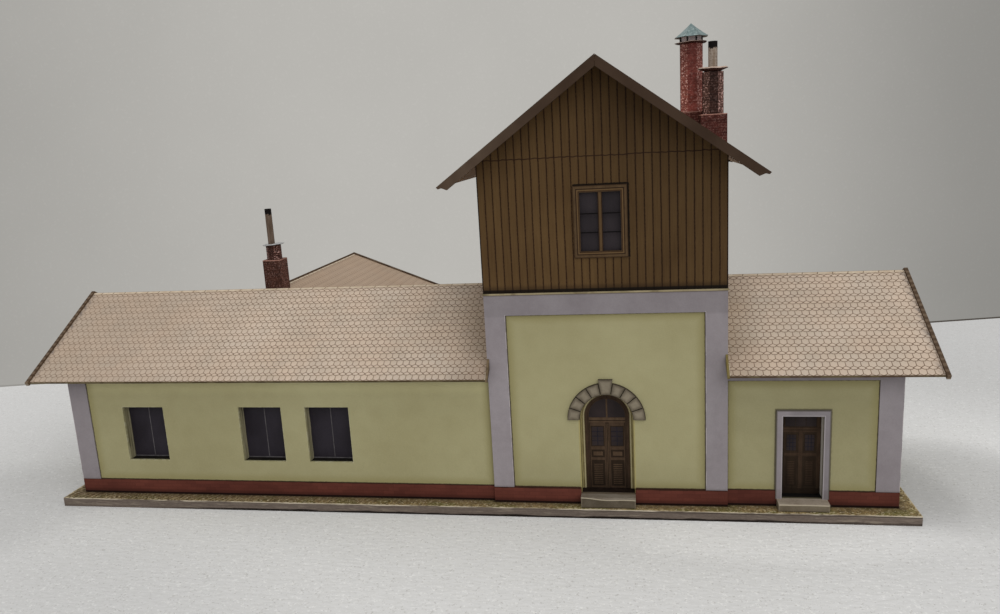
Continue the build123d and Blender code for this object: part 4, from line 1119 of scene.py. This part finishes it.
# Chimney covers with uneven edges
def torn_disc(name, node, material, sides, rag, sag, seed, flare, lean=0):
    """A thin card cover with a ragged rim; flare below 1 narrows its underside."""
    (x0, x1), (y0, y1), (z0, z1) = limits(node)
    cx, cy, half = (x0 + x1) / 2, (y0 + y1) / 2, (x1 - x0) / 2
    rng = random.Random(seed)
    count, slack = 72, 0.15
    waves = [(k, rng.uniform(0, 2 * math.pi), rng.uniform(0.4, 1) / k ** 0.5)
             for k in (2, 3, 5, 7, 11, 17, 23)]
    facet = 2 * math.pi / sides
    outline = []
    for i in range(count):
        a = 2 * math.pi * i / count
        flat = math.cos(facet / 2) / math.cos((a + facet / 2) % facet - facet / 2)
        wave = sum(w * math.sin(k * a + phase) for k, phase, w in waves) / 2.2
        radius = half * (0.5 + 0.5 * flat) * (1 - rag + rag * wave)
        outline.append((radius * math.cos(a), radius * math.sin(a), sag * wave))
    bm = bmesh.new()
    rings = []
    for share, wide, level in ((0, 1, 1), (0.55, 1, 1), (0.9, 1, 1), (1, 1, 0.72), (0.97, flare, 0.3),
                               (0.85, flare, 0.12), (0, flare, 0.1)):
        ring = []
        for dx, dy, droop in outline:
            dx, dy = dx * share * wide, dy * share * wide
            z = z0 + (z1 - z0) * level + droop * share ** 2 + dx * lean
            ring.append(bm.verts.new((cx + dx, cy + dy, max(z0 - slack, min(z1 + slack, z)))))
        rings.append(ring)
    skin(bm, rings)
    bmesh.ops.remove_doubles(bm, verts=bm.verts, dist=0.001)
    add_piece(name, bm, material, [node])


torn_disc("short_stack_cover", "short_stack_crown", collar_mat,
          sides=8, rag=0.07, sag=0.2, seed=3, flare=0.66)
torn_disc("tall_stack_cover", "tall_stack_collar", collar_mat,
          sides=8, rag=0.08, sag=0.2, seed=5, flare=0.94)
torn_disc("left_stack_cover", "left_stack_plate", plate_mat,
          sides=12, rag=0.07, sag=0.18, seed=8, flare=0.96, lean=0.05)


def sheet_cap():
    """Pointed cap of thin sheet: eight slightly hollow facets with uneven corners."""
    (x0, x1), _, (z0, z1) = limits("tall_stack_cap")
    cx, cy = centre("tall_stack_cap")
    flat = (x1 - x0) / 2
    facets, thickness = 8, 0.22
    points = 2 * facets
    rng = random.Random(4)
    jitter = [rng.uniform(-0.16, 0.16) for _ in range(facets)]
    bm = bmesh.new()
    rims = []
    for inset in (0, thickness):
        top = bm.verts.new((cx, cy, z1 - inset * 1.4))
        rings = []
        for share, fall in ((0.3, 0.34), (0.7, 0.74), (0.97, 0.985), (1, 0.99)):
            ring = []
            for i in range(points):
                a = math.pi / facets * (i + 1)
                corner = i % 2 == 0
                radius = (flat / math.cos(math.pi / facets) if corner else flat) * share
                lift = (jitter[i // 2] if corner else -0.1) * share
                z = z1 - (z1 - z0) * fall - inset * (1.2 if share < 1 else 0.6) + lift
                x, y = cx + radius * math.cos(a), cy + radius * math.sin(a)
                ring.append(bm.verts.new((x, y, max(z, z0 - 0.1))))
            rings.append(ring)
        for i in range(points):
            bm.faces.new((top, rings[0][i], rings[0][(i + 1) % points]))
        skin(bm, rings)
        rims.append(rings[-1])
    skin(bm, rims)
    add_piece("sheet_cap", bm, zinc_print(), ["tall_stack_cap"])


sheet_cap()


# Floor and backdrop
def stage_plane(name, corners, material):
    """A stage surface from its corners in millimetres."""
    mesh = bpy.data.meshes.new(name)
    mesh.from_pydata([tuple(c * MM for c in corner) for corner in corners], [], [(0, 1, 2, 3)])
    mesh.materials.append(material)
    obj = bpy.data.objects.new(name, mesh)
    bpy.context.scene.collection.objects.link(obj)
    return obj


# Soft patches of painted shade on the floor, and one of painted light in front of the tower: place, radii and
# change of brightness
floor_patches = [
    (x_left - 15, y_wing - 100, 180, 90, -0.15),
    (x_left - 90, y_wing + 90, 180, 160, -0.14),
    (x_left - 46, y_wing - 14, 70, 60, -0.14),
    (x_right + 30, y_wing + 32, 46, 52, -0.22),
    (x_right + 10, y_wing + 22, 22, 40, -0.15),
    (x_right + 120, y_wing + 240, 160, 190, -0.22),
    (x_right + 30, y_wing - 40, 60, 60, -0.05),
    (x_mid + 56, y_tower - 14, 70, 24, 0.14)]


def floor_print():
    """Pale fibrous paper with fine light and dark specks, and soft patches of painted shade and light."""
    p = Print("floor_paper", rough=0.9, specular=0.05)
    cloud = p.noise(260, 3)
    fibre = p.noise(1.6, 4, (2.2, 1, 1), 2)
    color = p.mix((209, 209, 208), (218, 218, 218), cloud * 0.5 + fibre * 0.5)
    color.coat((232, 232, 231), p.specks(1.1, 0.22, 4) * 0.7)
    color.coat((180, 178, 175), p.specks(0.9, 0.16, 9) * 0.6)
    for x, y, rx, ry, change in floor_patches:
        dx, dy = (p.x - x) / rx, (p.y - y) / ry
        color.dim((dx * dx + dy * dy).step(1, 0.1) * change + 1)
    return p.done(color, fibre, 0.08)


def backdrop_print():
    """A pale upright sheet, seen from the front only, that glows instead of being lit: its brightness is
    painted, darker towards both ends, with a painted shadow line along its foot.
    """
    p = Print("backdrop_paper")
    share = (p.x - backdrop_x) / backdrop_width
    color = p.plain((185, 183, 178))
    color.dim(p.noise(60, 4) * 0.03 + 0.985)
    color.dim(share.step(0.38, -0.1, 1, 0.73))
    color.dim(share.step(0.6, 1.02, 1, 0.56))
    color.dim(p.specks(1.6, 0.25, 3) * 0.03 + 1)
    color.coat((78, 73, 67), p.z.step(1.25, 0.85) * share.step(-0.4, 0.85))
    clear = p.node("BsdfTransparent")[0]
    surface = p.node("MixShader", p.behind, p.node("Emission", color)[0], clear)[0]
    p.link(surface, p.tree.nodes["Material Output"].inputs["Surface"])
    return p.mat


floor_half, floor_front, floor_back = 6000, -3000, 9000
stage_plane("floor", [(-floor_half, floor_front, 0), (floor_half, floor_front, 0),
                      (floor_half, floor_back, 0), (-floor_half, floor_back, 0)], floor_print())
backdrop_x, backdrop_y = x_mid - 400, y_tower + 156.4
backdrop_width, backdrop_depth, backdrop_height = 663, 148.9, 260
far_x, far_y = backdrop_x + backdrop_width, backdrop_y + backdrop_depth
backdrop = stage_plane("backdrop", [(backdrop_x, backdrop_y, 0), (far_x, far_y, 0),
                                    (far_x, far_y, backdrop_height),
                                    (backdrop_x, backdrop_y, backdrop_height)], backdrop_print())
for ray in ("diffuse", "glossy", "transmission", "volume_scatter", "shadow"):
    setattr(backdrop, "visible_" + ray, False)


# Light and camera
def studio():
    """An even white surround; the camera, gloss and glass see a pale grey one."""
    world = bpy.data.worlds.new("studio")
    world.use_nodes = True
    tree = Tree(world.node_tree)
    white = tree.node("Background", linear((255, 254, 252)), 0.8)[0]
    grey = tree.node("Background", linear((180, 177, 173)))[0]
    path = tree.node("LightPath")
    seen = Val(tree, path["Is Camera Ray"]).high(path["Is Glossy Ray"]).high(path["Is Transmission Ray"])
    surface = tree.node("MixShader", seen, white, grey)[0]
    tree.link(surface, world.node_tree.nodes["World Output"].inputs["Surface"])
    return world


scene = bpy.context.scene
scene.view_settings.view_transform = "Standard"
scene.world = studio()

lamp = bpy.data.lights.new("key", "SUN")
lamp.energy = 1.1
lamp.angle = math.radians(60)
key = bpy.data.objects.new("key", lamp)
key.rotation_euler = (math.radians(48), 0, math.radians(30))
scene.collection.objects.link(key)

# The camera stands in front of the tower, a little right of its middle
photo_width, focal_length = 1000, 804.062
camera_x, camera_y, camera_z = x_mid + 12.07, y_tower - 280.882, 139.337
yaw, pitch, roll = 0.1730, -0.2065, 0.0564
camera_data = bpy.data.cameras.new("camera")
camera_data.sensor_width = 36
camera_data.lens = 36 * focal_length / photo_width
camera_data.clip_start = 0.01
camera = bpy.data.objects.new("camera", camera_data)
turn = Matrix.Rotation(yaw, 4, "Z") @ Matrix.Rotation(pitch, 4, "X") @ Matrix.Rotation(roll, 4, "Y")
spot = Matrix.Translation((camera_x * MM, camera_y * MM, camera_z * MM))
camera.matrix_world = spot @ turn @ Matrix.Rotation(math.pi / 2, 4, "X")
scene.collection.objects.link(camera)
scene.camera = camera
